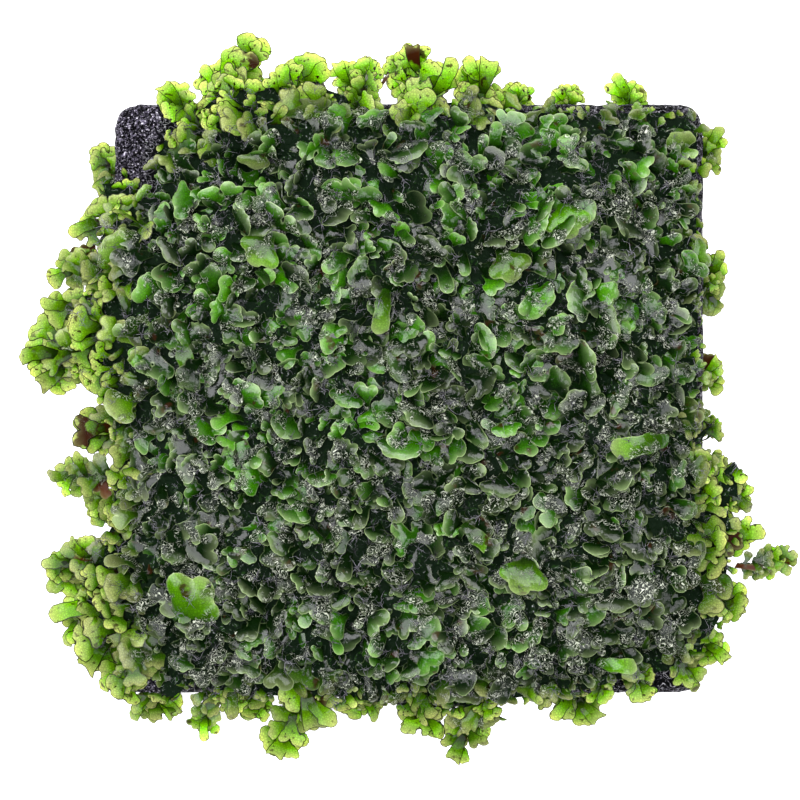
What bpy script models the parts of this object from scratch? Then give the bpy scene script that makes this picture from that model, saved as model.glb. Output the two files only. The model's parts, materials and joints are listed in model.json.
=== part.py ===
"""A water fern mat: overlapping lobed fronds grown over a porous square slab.

The slab lies flat with its underside at z = 0 and its middle over the origin. +Y is the edge
with the tallest sprigs, and -X is the edge with the widest overhang. Metres, +Z up.
"""

import math
import random

import bmesh
import bpy
from mathutils import Matrix, Vector

MM = 0.001
UP = Vector((0, 0, 1))

# Porous slab
SLAB_SIDE = 80 * MM
SLAB_THICKNESS = 10 * MM
SLAB_CORNER_RADIUS = 3 * MM
SLAB_EDGE_RADIUS = 1.2 * MM
SLAB_CORNER_STEPS = 3
SLAB_EDGE_STEPS = 2
SMOOTH_ANGLE = math.radians(35)

# Clumps that stand on the slab
CLEARANCE = 0.3 * MM
CLUMP_ROWS = 5
CLUMP_COLUMNS = 5
CLUMP_PITCH = 16.6 * MM
CLUMP_SCATTER = 2.4 * MM
CLUMP_ROW_SHIFT = 4 * MM
BARE_CORNER_SHIFT = Vector((5 * MM, -1 * MM))
MOUND_SHOULDER = 3 * MM
MOUND_HEIGHT = 7.6 * MM
MOUND_INSET = 0.985
MOUND_TOP_SHARE = 0.6
PATCH_REACH = 70 * MM
PATCH_HEIGHT = 30 * MM
SEED = 11

# Lobes of a clump: they overlap like shingles, steep in the middle and flat at the border,
# and lean the way the mat grows
CLUMP_LOBES = 8
GOLDEN_TURN = math.pi * (3 - math.sqrt(5))
LOBE_LENGTH = (7 * MM, 9.5 * MM)
LOBE_WIDTH = (5.4 * MM, 7.2 * MM)
LOBE_THICKNESS = 1.5 * MM
OUTER_LOBE_RISE = (math.radians(4), math.radians(14))
INNER_LOBE_RISE = math.radians(40)
LOBE_SINK = 0.6 * MM
LOBE_SPREAD = 0.9
LOBE_REACH_SHARE = 0.97
GROWTH = Vector((0, -0.45))
OUTWARD_GROWTH = 0.9
STRAY_GROWTH = 0.55

# A lobe seen flat, along its length and half its width, both as shares: a narrow root that
# widens to one blunt end, or to two with a notch between them
ROUND_LOBE = ((0, 0), (0.6, 0.5), (1, 0.25))
FORKED_LOBE = ((0, 0), (0.66, 0.56), (1, 0.36))
FORK_NOTCH = (0.87, 0)
FORKED_SHARE = 0.35
LOBE_CROWN = 0.62
LOBE_DISH = (-0.5 * MM, 1.1 * MM)

# Fronds that leave the mat's rim or the slab's sides
FRINGE_THICKNESS = 1.2 * MM
RIM_ROOT_HEIGHT = SLAB_THICKNESS + 2.6 * MM
WALL_ROOT_HEIGHT = 5.5 * MM
WALL_FORK_SHARE = 0.3

# Plan of the mat's dense part, in millimetres. It leaves three corners of the slab bare.
MAT_OUTLINE = (
    (-35, 27.5), (-34.5, 33), (-31.5, 38.5), (-27, 43), (-20, 44), (-10, 43.5), (-3, 41),
    (9, 42.5), (14, 40.6), (38.5, 40.4), (40.7, 36), (41, 10), (40.6, -6), (44, -11),
    (45.5, -17), (45, -24), (43.5, -31), (40.5, -36), (37, -38.4), (31, -39.4), (25, -41.2),
    (12, -42.6), (4, -44), (-8, -42.4), (-26, -41.8), (-31.5, -39.4), (-34, -35.4),
    (-41, -34.6), (-45, -29), (-46, -23), (-42, -17), (-41.2, -8), (-42, -1), (-46.5, 3),
    (-48, 9), (-45, 16), (-43.6, 22), (-41, 27),
)

# Each frond of the mat's rim: where it leaves the mat, and its lobes as tip x, tip y, tip
# height and width, all in millimetres.
RIM_FRONDS = (
    ((-30, 38.5), ((-33.6, 42.6, 11, 3),)),
    ((-24.5, 40), ((-24.6, 48, 11, 4.8), (-29, 45.8, 9, 3.8), (-20.4, 49, 12, 3.6))),
    ((-15, 40), ((-12.8, 46.6, 11, 3.2), (-17, 45.6, 13, 3.6))),
    ((-7, 39.5), ((-9.6, 45.8, 11, 2.6), (-5, 46.2, 13, 2.6))),
    ((2, 39), ((0.6, 48.2, 12, 3.4), (-2.4, 46.8, 10, 3), (5.6, 45.4, 13, 4))),
    ((9.5, 39.5), ((11, 46.2, 12, 3.6), (7.8, 45.8, 10, 3))),
    ((39.5, -9), ((43.4, -8, 13, 2.6), (46, -11.6, 11, 2.8), (46.4, -15, 9, 3.2))),
    ((42.5, -18.4), ((47.6, -18, 11, 3.8),)),
    ((42.5, -22.4), ((52.4, -21.2, 13, 2.8), (50.6, -23.6, 11, 2.8))),
    ((42, -27), ((45.8, -26.6, 10, 3.2), (45.2, -29.6, 12, 3.6))),
    ((40, -33), ((43, -35.8, 11, 4),)),
    ((10.5, -39.5), ((5.6, -49.2, 11, 3.4), (8.6, -47.8, 9, 3), (11.6, -44.6, 12, 3.2))),
    ((2, -41), ((3.4, -47, 12, 4.6), (-1, -46, 10, 3.8))),
    ((-14, -39.5), ((-12.6, -45.2, 12, 4.4), (-18.4, -49, 10, 3.6))),
    ((-27.5, -39.5), ((-27.4, -46.4, 11, 2.8),)),
    ((-36.5, -35), ((-41.6, -38.8, 11, 3.6), (-39, -41.4, 10, 3))),
    ((-39.5, -31.5), ((-44.4, -36.8, 11, 4.8),)),
    ((-42, -28.5), ((-47.8, -29.4, 11, 4.6), (-46.6, -32.8, 9, 3.2))),
    ((-42.5, -22), ((-49.8, -22.4, 11, 3.4), (-48.4, -25.6, 9, 3.2), (-46.6, -18.4, 12, 3.2))),
    ((-39.5, -10.5), ((-48.8, -10.6, 11, 4),)),
    ((-44.5, 6), ((-52.6, 6, 12, 3.8), (-50.4, 1.6, 10, 4), (-51, 10.6, 11, 3.6))),
    ((-44, 12), ((-49.4, 13.2, 11, 3.4),)),
    ((-43, 17.5), ((-49, 16.8, 12, 3.2), (-47.2, 19.6, 10, 3))),
    ((-39, 24.5), ((-45.4, 22.4, 11, 3.6), (-43.6, 26.4, 12, 3))),
)

# Each frond of the slab's sides: the side, its place along it, and its lobes in the same way.
WALL_FRONDS = (
    ("top", 15, ((15.2, 43, 8, 3), (12.6, 42.6, 6, 2.6))),
    ("top", 21.6, ((20, 42.6, 8, 3), (23.6, 42.4, 6, 3))),
    ("top", 30, ((28.2, 43.8, 8, 3), (32, 42.4, 6, 3))),
    ("right", 33.5, ((42.4, 36.6, 8, 2.6), (42.2, 31, 6, 2.4))),
    ("right", 16, ((42.4, 19.8, 8, 2.8), (42.6, 15.2, 7, 3), (42.2, 11.4, 5, 2.6))),
    ("right", 3.4, ((42.4, 5.6, 8, 2.8), (42.2, 0.6, 6, 2.6))),
    ("right", -3.4, ((42.4, -5.4, 8, 2.8),)),
    ("bottom", 22.5, ((26.2, -44, 8, 3.4), (19.8, -43.4, 6, 3.8))),
    ("bottom", -6.4, ((-5, -43.8, 8, 3.4), (-8.6, -43.2, 6, 3))),
    ("bottom", -21, ((-20.6, -44.2, 8, 3.6),)),
    ("bottom", -34.5, ((-31.6, -43.6, 8, 4), (-37.8, -43.4, 6, 3.4))),
    ("left", -4, ((-46, -4.4, 8, 3.8), (-43.8, -7.4, 6, 3))),
    ("left", -14.5, ((-44, -13.4, 7, 3), (-43.8, -16.4, 6, 2.6))),
    ("left", 30.5, ((-42.8, 28, 7, 3), (-42.4, 34.4, 8, 2.8))),
)

# Finishes. The clumps are a fresh green on the left, and darken to the right.
SLAB_COLOUR = Vector((0.045, 0.04, 0.047))
LEFT_CLUMP_COLOUR = Vector((0.1, 0.24, 0.03))
RIGHT_CLUMP_COLOUR = Vector((0.035, 0.085, 0.02))
YOUNG_FROND_COLOUR = Vector((0.3, 0.52, 0.04))
SLAB_ROUGHNESS = 0.85
FROND_ROUGHNESS = 0.35


def clear_scene():
    for old in list(bpy.data.objects):
        bpy.data.objects.remove(old)


def finish_material(name, colour, roughness):
    """A plain non-metal finish."""
    made = bpy.data.materials.new(name)
    made.use_nodes = True
    shader = made.node_tree.nodes["Principled BSDF"]
    shader.inputs["Base Color"].default_value = (*colour, 1)
    shader.inputs["Roughness"].default_value = roughness
    shader.inputs["Metallic"].default_value = 0
    return made


def new_object(name, fill_shape, collection, material=None):
    """Turns the bmesh that fill_shape fills into a linked object with its faces outwards."""
    shape = bmesh.new()
    fill_shape(shape)
    bmesh.ops.recalc_face_normals(shape, faces=shape.faces)
    mesh = bpy.data.meshes.new(name)
    shape.to_mesh(mesh)
    shape.free()
    mesh.shade_smooth()
    mesh.set_sharp_from_angle(angle=SMOOTH_ANGLE)
    made = bpy.data.objects.new(name, mesh)
    collection.objects.link(made)
    if material:
        mesh.materials.append(material)
    return made


def helper_collection(name):
    made = bpy.data.collections.new(name)
    bpy.context.scene.collection.children.link(made)
    return made


def new_helper(name, fill_shape, collection):
    """A solid that only cuts or joins others, so it stays out of the render."""
    made = new_object(name, fill_shape, collection)
    made.hide_render = True
    made.display_type = "WIRE"
    return made


def slab_shape(shape):
    """A square tile: round corners in plan, then softened top and bottom edges."""
    size = Matrix.Diagonal((SLAB_SIDE, SLAB_SIDE, SLAB_THICKNESS, 1))
    middle = Matrix.Translation((0, 0, SLAB_THICKNESS / 2))
    bmesh.ops.create_cube(shape, size=1, matrix=middle @ size)
    upright = [e for e in shape.edges if e.verts[0].co.xy == e.verts[1].co.xy]
    bmesh.ops.bevel(
        shape, geom=upright, offset=SLAB_CORNER_RADIUS, segments=SLAB_CORNER_STEPS,
        profile=0.5, affect="EDGES",
    )
    level = [e for e in shape.edges if e.verts[0].co.z == e.verts[1].co.z]
    bmesh.ops.bevel(
        shape, geom=level, offset=SLAB_EDGE_RADIUS, segments=SLAB_EDGE_STEPS,
        profile=0.5, affect="EDGES",
    )


def lobe_rim(forked):
    """The lobe's outline as a closed loop of length and width shares."""
    right = list(FORKED_LOBE if forked else ROUND_LOBE)
    left = [(along, -half) for along, half in reversed(right[1:])]
    return right + ([FORK_NOTCH] if forked else []) + left


def lobe_shape(shape, root, tip, width, thickness, dish, forked):
    """A closed leaf blade from root to tip, whose middle stands off its rim by dish."""
    along = tip - root
    across = along.cross(UP).normalized()
    lift = across.cross(along).normalized()
    rim = [
        shape.verts.new(root + along * far + across * (width * half))
        for far, half in lobe_rim(forked)
    ]
    crown = root + along * LOBE_CROWN + lift * dish
    face_points = (shape.verts.new(crown), shape.verts.new(crown - lift * thickness))
    for a, b in zip(rim, rim[1:] + rim[:1]):
        for middle in face_points:
            shape.faces.new((a, b, middle))


def cut_polygon(polygon, point, normal):
    """The part of a plan polygon on the side of the line that normal points away from."""
    kept = []
    for a, b in zip(polygon, polygon[1:] + polygon[:1]):
        da, db = (a - point).dot(normal), (b - point).dot(normal)
        if da <= 0:
            kept.append(a)
        if (da < 0 < db) or (db < 0 < da):
            kept.append(a.lerp(b, da / (da - db)))
    return kept


def area_centre(polygon):
    """Centre of area of a plan polygon."""
    total, centre = 0.0, Vector((0, 0))
    for a, b in zip(polygon, polygon[1:] + polygon[:1]):
        piece = a.cross(b)
        total += piece
        centre += (a + b) * piece
    return centre / (3 * total)


def reach_inside(polygon, start, direction):
    """How far it is from start, inside a plan polygon, to its edge along direction."""
    found = []
    for a, b in zip(polygon, polygon[1:] + polygon[:1]):
        turn = direction.cross(b - a)
        if turn:
            far = (a - start).cross(b - a) / turn
            share = (a - start).cross(direction) / turn
            if far > 0 and 0 <= share <= 1:
                found.append(far)
    return min(found)


def clump_centres(rng):
    """A loose grid over the slab, with every other row pushed sideways."""
    centres = []
    for row in range(CLUMP_ROWS):
        for column in range(CLUMP_COLUMNS):
            shift = CLUMP_ROW_SHIFT * (0.5 if row % 2 else -0.5)
            x = (column - (CLUMP_COLUMNS - 1) / 2) * CLUMP_PITCH + shift
            y = (row - (CLUMP_ROWS - 1) / 2) * CLUMP_PITCH
            scatter = Vector((rng.uniform(-1, 1), rng.uniform(-1, 1))) * CLUMP_SCATTER
            centres.append(Vector((x, y)) + scatter)
    centres[(CLUMP_ROWS - 1) * CLUMP_COLUMNS] += BARE_CORNER_SHIFT
    return centres


def patch_around(centre, centres, polygon):
    """The part of a plan polygon nearest to one centre, drawn in by half the clearance."""
    for other in centres:
        if other is not centre:
            normal = (other - centre).normalized()
            middle = centre.lerp(other, 0.5) - normal * (CLEARANCE / 2)
            polygon = cut_polygon(polygon, middle, normal)
    return polygon


class Mound:
    """The low felted middle of a clump: its patch, drawn in towards a flat top."""

    def __init__(self, patch):
        self.floor = SLAB_THICKNESS + CLEARANCE
        self.centre = area_centre(patch)
        self.foot = [self.centre + (p - self.centre) * MOUND_INSET for p in patch]

    def fill(self, shape):
        rings = ((1, 0), (1, MOUND_SHOULDER), (MOUND_TOP_SHARE, MOUND_HEIGHT))
        loops = []
        for share, rise in rings:
            plan = [self.centre + (p - self.centre) * share for p in self.foot]
            loops.append([shape.verts.new((*p, self.floor + rise)) for p in plan])
        shape.faces.new(loops[0])
        shape.faces.new(loops[-1])
        for lower, upper in zip(loops, loops[1:]):
            for i in range(len(lower)):
                j = (i + 1) % len(lower)
                shape.faces.new((lower[i], lower[j], upper[j], upper[i]))

    def surface(self, place):
        """The point of the mound's top over a place in plan."""
        out = place - self.centre
        share = out.length / reach_inside(self.foot, self.centre, out.normalized())
        slope = max(0, share - MOUND_TOP_SHARE) / (1 - MOUND_TOP_SHARE)
        rise = MOUND_HEIGHT + (MOUND_SHOULDER - MOUND_HEIGHT) * min(slope, 1)
        return Vector((*place, self.floor + rise))


def clump_lobes(rng, mound):
    """The lobes of one clump, spiralling out from its middle and leaning with the growth."""
    start = rng.uniform(0, math.tau)
    lobes = []
    for i in range(CLUMP_LOBES):
        share = math.sqrt((i + 0.5) / CLUMP_LOBES)
        turn = start + i * GOLDEN_TURN
        spoke = Vector((math.cos(turn), math.sin(turn)))
        place = mound.centre + spoke * (share * reach_inside(mound.foot, mound.centre, spoke))
        place = mound.centre.lerp(place, LOBE_SPREAD)
        stray_turn = rng.uniform(0, math.tau)
        stray = Vector((math.cos(stray_turn), math.sin(stray_turn))) * STRAY_GROWTH
        lean = (GROWTH + spoke * (share * OUTWARD_GROWTH) + stray).normalized()
        length = rng.uniform(*LOBE_LENGTH)
        outer_rise = rng.uniform(*OUTER_LOBE_RISE)
        rise = INNER_LOBE_RISE + (outer_rise - INNER_LOBE_RISE) * share
        flat_length = length * math.cos(rise)
        reach = reach_inside(mound.foot, place, lean) * LOBE_REACH_SHARE
        place += lean * min(0, reach - flat_length)
        root = mound.surface(place) - UP * LOBE_SINK
        tip = root + Vector((*lean, 0)) * flat_length + UP * (length * math.sin(rise))
        lobes.append((root, tip, rng.uniform(*LOBE_WIDTH), LOBE_THICKNESS))
    return lobes


def frond_lobes(root, tips):
    """The lobes of one fringe frond, which fork from its root."""
    return [
        (root, Vector((x, y, height)) * MM, width * MM, FRINGE_THICKNESS)
        for x, y, height, width in tips
    ]


def rim_lobes(centre, centres):
    """The lobes of the rim fronds that leave the mat nearest to this clump's centre."""
    lobes = []
    for place, tips in RIM_FRONDS:
        leaves = Vector(place) * MM
        if min(centres, key=lambda other: (other - leaves).length) is centre:
            lobes += frond_lobes(Vector((*leaves, RIM_ROOT_HEIGHT)), tips)
    return lobes


def add_boolean(obj, operation, operand):
    """Joins obj with a collection of helpers, or keeps what lies inside one helper."""
    modifier = obj.modifiers.new(operation.lower(), "BOOLEAN")
    modifier.operation = operation
    modifier.solver = "EXACT"
    if isinstance(operand, bpy.types.Collection):
        modifier.operand_type = "COLLECTION"
        modifier.collection = operand
    else:
        modifier.object = operand


def add_lobes(name, lobes, rng):
    """A collection of helper lobes, each a closed solid of its own."""
    group = helper_collection(name)
    for i, (root, tip, width, thickness) in enumerate(lobes):
        dish = rng.uniform(*LOBE_DISH)
        forked = rng.random() < FORKED_SHARE
        new_helper(
            f"{name} {i + 1}",
            lambda shape: lobe_shape(shape, root, tip, width, thickness, dish, forked),
            group,
        )
    return group


def patch_shape(shape, patch):
    """An upright prism over a patch, which keeps a clump clear of its neighbours."""
    base = shape.faces.new([shape.verts.new((*p, 0)) for p in patch])
    made = bmesh.ops.extrude_face_region(shape, geom=[base])
    raised = [v for v in made["geom"] if isinstance(v, bmesh.types.BMVert)]
    bmesh.ops.translate(shape, verts=raised, vec=(0, 0, PATCH_HEIGHT))


def clump_colour(centre):
    """The green of the clump that grows at this place."""
    across = centre.x / SLAB_SIDE + 0.5
    return LEFT_CLUMP_COLOUR.lerp(RIGHT_CLUMP_COLOUR, min(max(across, 0), 1))


def add_clumps(scene):
    rng = random.Random(SEED)
    centres = clump_centres(rng)
    outline = [Vector(p) * MM for p in MAT_OUTLINE]
    corners = ((-1, 1), (1, 1), (1, -1), (-1, -1))
    surroundings = [Vector(corner) * PATCH_REACH for corner in corners]
    patches = helper_collection("clump patches")
    for number, centre in enumerate(centres, 1):
        name = f"clump_{number:02d}"
        mound = Mound(patch_around(centre, centres, outline))
        finish = finish_material(name, clump_colour(centre), FROND_ROUGHNESS)
        clump = new_object(name, mound.fill, scene, finish)
        lobes = clump_lobes(rng, mound) + rim_lobes(centre, centres)
        add_boolean(clump, "UNION", add_lobes(f"{name} lobes", lobes, rng))
        patch = patch_around(centre, centres, surroundings)
        prism = new_helper(f"{name} patch", lambda shape: patch_shape(shape, patch), patches)
        add_boolean(clump, "INTERSECT", prism)


def wall_root(side, place):
    """The point where a frond leaves the slab's side."""
    out = {"top": (0, 1), "bottom": (0, -1), "left": (-1, 0), "right": (1, 0)}[side]
    along = (abs(out[1]), abs(out[0]))
    plan = Vector(out) * (SLAB_SIDE / 2 + CLEARANCE) + Vector(along) * (place * MM)
    return Vector((*plan, WALL_ROOT_HEIGHT))


def add_wall_fronds(scene):
    rng = random.Random(SEED)
    dish = FRINGE_THICKNESS / 2
    for number, (side, place, tips) in enumerate(WALL_FRONDS, 1):
        name = f"frond_{side}_{number:02d}"
        first = frond_lobes(wall_root(side, place), tips[:1])[0]
        finish = finish_material(name, YOUNG_FROND_COLOUR, FROND_ROUGHNESS)
        frond = new_object(name, lambda shape: lobe_shape(shape, *first, dish, True), scene, finish)
        if len(tips) > 1:
            fork = first[0].lerp(first[1], WALL_FORK_SHARE)
            side_lobes = add_lobes(f"{name} lobes", frond_lobes(fork, tips[1:]), rng)
            add_boolean(frond, "UNION", side_lobes)


def main():
    clear_scene()
    scene = bpy.context.scene.collection
    new_object("slab", slab_shape, scene, finish_material("slab", SLAB_COLOUR, SLAB_ROUGHNESS))
    add_clumps(scene)
    add_wall_fronds(scene)


main()
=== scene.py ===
"""Dresses the water fern mat: a porous slab grown over with small, forked, glassy fronds."""

import json
import math
import random

import bmesh
import bpy
import numpy as np
from bpy.props import FloatProperty, FloatVectorProperty, IntProperty, PointerProperty
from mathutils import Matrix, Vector, noise
from mathutils.geometry import delaunay_2d_cdt

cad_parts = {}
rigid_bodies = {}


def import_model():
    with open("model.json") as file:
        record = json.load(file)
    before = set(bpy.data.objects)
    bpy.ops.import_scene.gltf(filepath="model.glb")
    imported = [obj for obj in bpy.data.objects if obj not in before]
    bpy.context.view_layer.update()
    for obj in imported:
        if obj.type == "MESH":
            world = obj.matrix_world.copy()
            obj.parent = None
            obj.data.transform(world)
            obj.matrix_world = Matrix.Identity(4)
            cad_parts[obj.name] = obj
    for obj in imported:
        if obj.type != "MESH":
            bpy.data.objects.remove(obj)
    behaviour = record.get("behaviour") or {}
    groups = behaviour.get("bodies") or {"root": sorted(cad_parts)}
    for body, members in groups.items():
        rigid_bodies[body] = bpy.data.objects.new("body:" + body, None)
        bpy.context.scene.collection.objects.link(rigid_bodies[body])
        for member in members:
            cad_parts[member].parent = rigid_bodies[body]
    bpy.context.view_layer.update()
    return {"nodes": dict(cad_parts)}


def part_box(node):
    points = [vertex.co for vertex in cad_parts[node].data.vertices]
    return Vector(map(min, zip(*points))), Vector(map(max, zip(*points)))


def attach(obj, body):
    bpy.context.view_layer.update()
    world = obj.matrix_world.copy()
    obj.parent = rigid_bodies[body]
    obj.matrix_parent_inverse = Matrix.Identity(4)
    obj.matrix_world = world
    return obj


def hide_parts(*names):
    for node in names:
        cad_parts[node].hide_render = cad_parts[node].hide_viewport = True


bl_info = {
    "name": "Water fern mat",
    "version": (1, 0, 0),
    "blender": (4, 5, 0),
    "location": "3D View > Sidebar > Fern mat",
    "description": "Grows a mat of small forked fronds over a porous slab",
    "category": "Object",
}

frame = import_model()

MM = 0.001
BODY = "root"
CLUMPS = sorted(name for name in frame["nodes"] if name.startswith("clump_"))
SLAB_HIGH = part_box("slab")[1]
MAT_FLOOR = SLAB_HIGH.z + 0.3 * MM
FLOOR_TOLERANCE = 0.02 * MM

# Half of the slab's width in millimetres
SLAB_HALF = 40

# Grid that the slab is divided into before its pores are sunk
SLAB_GRID = 0.8 * MM

# Height of the slab's foot that stays free of pores
PLAIN_FOOT = 0.3 * MM

# Depth below the slab's top that the mat's stain and painted shade can reach, and the distance from
# the mat that is given to all that is lower
SHADE_STAIN_DEPTH = 2 * MM
MAT_REACH = 10 * MM

# Felt of roots under the fronds: grid of its mesh, step along its border, least thickness, and the
# rise of a face's normal below which the face is a wall
FELT_GRID = 1.3 * MM
FELT_EDGE_STEP = 1.4 * MM
LEAST_FELT = 0.4 * MM
WALL_RISE = 0.3

# How far the felt is held back from the mat's rim, where the mat hangs over the slab's edge and
# inside that, and how far it is laid over the seams between clumps. An edge of a clump is part of
# the rim where every other clump is further away than the gap
RIM_INSET = 2.2 * MM
INNER_RIM_INSET = 0.7 * MM
OVERHANG_FROM = 37 * MM
SEAM_OVERLAP = 0.45 * MM
NEIGHBOUR_GAP = 1.2 * MM

# Height of the felt: its shoulder at the rim, how far the crown rises over that and how far inland
# it does so, then the broad swells and the small lumps of its top
SHOULDER = 2.0 * MM
CROWN_RISE = 3.2 * MM
CROWN_REACH = 7 * MM
SWELL = 1.1 * MM
SWELL_LENGTH = 13 * MM
LUMP = 0.5 * MM
LUMP_LENGTH = 2.5 * MM

# Hollows of the mat: place in plan, radius and depth in millimetres. Nothing grows in their middle
BARE_SHARE = 0.6
HOLLOWS = (
    (-21, 30, 3.6, 5), (-37, -36, 4, 4), (24, 2.5, 4, 2.5), (33, -35, 4.5, 2), (-8, -33, 3.5, 2.5),
)

# Frond blades: plain length, grid of the mesh, reach of the blend between strips, thickness, width
# of the rounded edge and of the curled rim, least fold that is shaded sharp, and rounds in which
# the mesh is evened out
FROND_LENGTH = 6.2 * MM
BLADE_GRID = 0.72 * MM
JOIN_BLEND = 0.2 * MM
BLADE_THICKNESS = 0.16 * MM
EDGE_ROUNDING = 0.15 * MM
CURL_WIDTH = 1.0 * MM
RIM_FOLD = math.radians(70)
OUTLINE_STEPS = 4

# How steeply the fringe's blades rise and arch, against those inside the mat
FRINGE_STEEPNESS = 0.45

# Radius of a blade's neck, least and most radius of its lobes, height of the waves of its outline
# and grid of its mesh, for the blades inside the mat and for the rounder ones of the fringe
INNER_GROWTH = (0.6 * MM, (0.95 * MM, 1.4 * MM), 0.035 * MM, BLADE_GRID)
FRINGE_GROWTH = (0.8 * MM, (1.0 * MM, 1.45 * MM), 0.09 * MM, BLADE_GRID)

# Each kind of frond: how often it forks, and how broad it is against the plain one
FROND_KINDS = (
    (1, 1.0), (2, 0.85), (1, 1.2), (0, 1.0), (2, 1.05), (1, 0.8), (2, 0.95), (1, 1.1), (0, 1.25),
    (2, 0.8), (1, 0.95), (2, 1.15),
)
INNER_ROUNDS = 3
COMMON_FRONDS = FROND_KINDS * (INNER_ROUNDS + 1)
INNER_KINDS = len(FROND_KINDS) * INNER_ROUNDS

# Leaves of their own shape, as strips: start x, start y, end x, end y, start and end radius in
# millimetres, for a leaf that grows along +Y
TONGUE = ((0, 0, 0.2, 2.5, 0.7, 1.1), (0.2, 2.5, 0, 6.4, 1.1, 1.4))
BROAD_LEAF = (
    (0, 0, 0, 1.8, 0.8, 1.1), (0, 1.8, -2.2, 4.2, 1.0, 1.5), (0, 1.8, 0.4, 5.2, 1.1, 1.7),
    (0, 1.8, 2.6, 3.4, 0.9, 1.3),
)
FOLDED_LEAF = ((0, 0, 0, 3, 0.9, 1.7), (0, 3, 0, 6.6, 1.7, 0.5), (0, 1.6, -1.9, 2.6, 0.8, 1.0))
STALK = ((0, 0, 0.3, 3, 0.4, 0.34), (0.3, 3, 0, 6.2, 0.34, 0.3))
HORNED_LEAF = (
    (0, 0, 0, 3.6, 0.8, 1.5), (0, 3.6, -1.7, 6.2, 1.2, 0.22), (0, 3.6, 1.8, 5.8, 1.2, 0.22),
)
OWN_SHAPES = (TONGUE, BROAD_LEAF, FOLDED_LEAF, STALK, HORNED_LEAF)

# Leaves that stand out in the mat: the shape's place in the list above, the root's place, the way
# the leaf points in degrees from +X, its size, its tone and how withered it is
NAMED_LEAVES = (
    (0, (34.6, -5.6, 17.4), 190, 1.15, 0.9, 0), (1, (-31.4, -29.6, 16.4), 55, 1.15, 0.85, 0),
    (0, (25.4, -35.4, 15), -8, 0.8, 0.9, 0), (1, (20.4, 26.4, 17.2), -70, 0.85, 0.95, 0),
    (1, (-18.5, 22, 17.2), -120, 0.8, 0.8, 0), (0, (-30.5, 8, 17), -75, 0.95, 0.75, 0),
    (1, (12, 20, 17.4), -60, 0.8, 0.6, 0), (0, (-3, 14.5, 17.4), -100, 0.9, 0.8, 0),
    (1, (16, -21, 17.2), -100, 0.9, 0.6, 0), (0, (7.5, -17, 17.4), -40, 0.9, 0.7, 0),
    (3, (43.6, -22.4, 12.4), 0, 1.0, 0.2, 1), (3, (-6, 41, 12.6), 84, 0.7, 0.2, 1),
    (3, (-4.2, 41.6, 12.6), 62, 0.6, 0.1, 1), (0, (31.8, -33.8, 14.4), 100, 0.5, 0.35, 0),
    (0, (35, -31.4, 14.8), 20, 0.6, 0.5, 0), (2, (30, -31.8, 15), -160, 0.5, 0.4, 0),
)

# Root threads: kinds of tuft, threads in each, and a thread's radius, step and bend at each step
TUFTS = 12
TUFT_THREADS = 6
THREAD_RADIUS = 0.055 * MM
THREAD_STEP = 0.42 * MM
THREAD_BEND = 1.15
THREAD_SEED = 3

# Each side frond's node, its root on the slab's side, and its lobes as tip x, tip y, tip height
# and width in millimetres
SIDE_FRONDS = {
    "frond_top_01": ((15, 40.3, 5.5), ((15.2, 43, 8, 3), (12.6, 42.6, 6, 2.6))),
    "frond_top_02": ((21.6, 40.3, 5.5), ((20, 42.6, 8, 3), (23.6, 42.4, 6, 3))),
    "frond_top_03": ((30, 40.3, 5.5), ((28.2, 43.8, 8, 3), (32, 42.4, 6, 3))),
    "frond_right_04": ((40.3, 33.5, 5.5), ((42.4, 36.6, 8, 2.6), (42.2, 31, 6, 2.4))),
    "frond_right_05": (
        (40.3, 16, 5.5), ((42.4, 19.8, 8, 2.8), (42.6, 15.2, 7, 3), (42.2, 11.4, 5, 2.6)),
    ),
    "frond_right_06": ((40.3, 3.4, 5.5), ((42.4, 5.6, 8, 2.8), (42.2, 0.6, 6, 2.6))),
    "frond_right_07": ((40.3, -3.4, 5.5), ((42.4, -5.4, 8, 2.8),)),
    "frond_bottom_08": ((22.5, -40.3, 5.5), ((26.2, -44, 8, 3.4), (19.8, -43.4, 6, 3.8))),
    "frond_bottom_09": ((-6.4, -40.3, 5.5), ((-5, -43.8, 8, 3.4), (-8.6, -43.2, 6, 3))),
    "frond_bottom_10": ((-21, -40.3, 5.5), ((-20.6, -44.2, 8, 3.6),)),
    "frond_bottom_11": ((-34.5, -40.3, 5.5), ((-31.6, -43.6, 8, 4), (-37.8, -43.4, 6, 3.4))),
    "frond_left_12": ((-40.3, -4, 5.5), ((-46, -4.4, 8, 3.8), (-43.8, -7.4, 6, 3))),
    "frond_left_13": ((-40.3, -14.5, 5.5), ((-44, -13.4, 7, 3), (-43.8, -16.4, 6, 2.6))),
    "frond_left_14": ((-40.3, 30.5, 5.5), ((-42.8, 28, 7, 3), (-42.4, 34.4, 8, 2.8))),
}

# Shares of the planted fronds that are withered, and of those at a lobe's tip that are straps and
# horned leaves
WITHERED_SHARE = 0.03
STRAP_SHARE = 0.45
HORNED_SHARE = 0.2

# Fronds planted for each lobe: how far each ends from the lobe's tip, against its length, how far
# it turns aside in radians, and its size against that of the lobe
FAN = (
    (0, 0, 0.85), (0.06, 0.55, 0.66), (0.1, -0.6, 0.7), (0.35, 1, 0.64), (0.4, -1, 0.66),
    (0.45, 0.15, 0.74), (0.7, -0.5, 0.76), (0.75, 0.65, 0.7), (0.95, 0, 0.76),
    (1.05, 0.95, 0.7), (1.1, -0.95, 0.7),
)

# The sprigs at the top, from this far up the plan, are the brightest
TOP_SPRIGS_FROM = 40 * MM

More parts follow.
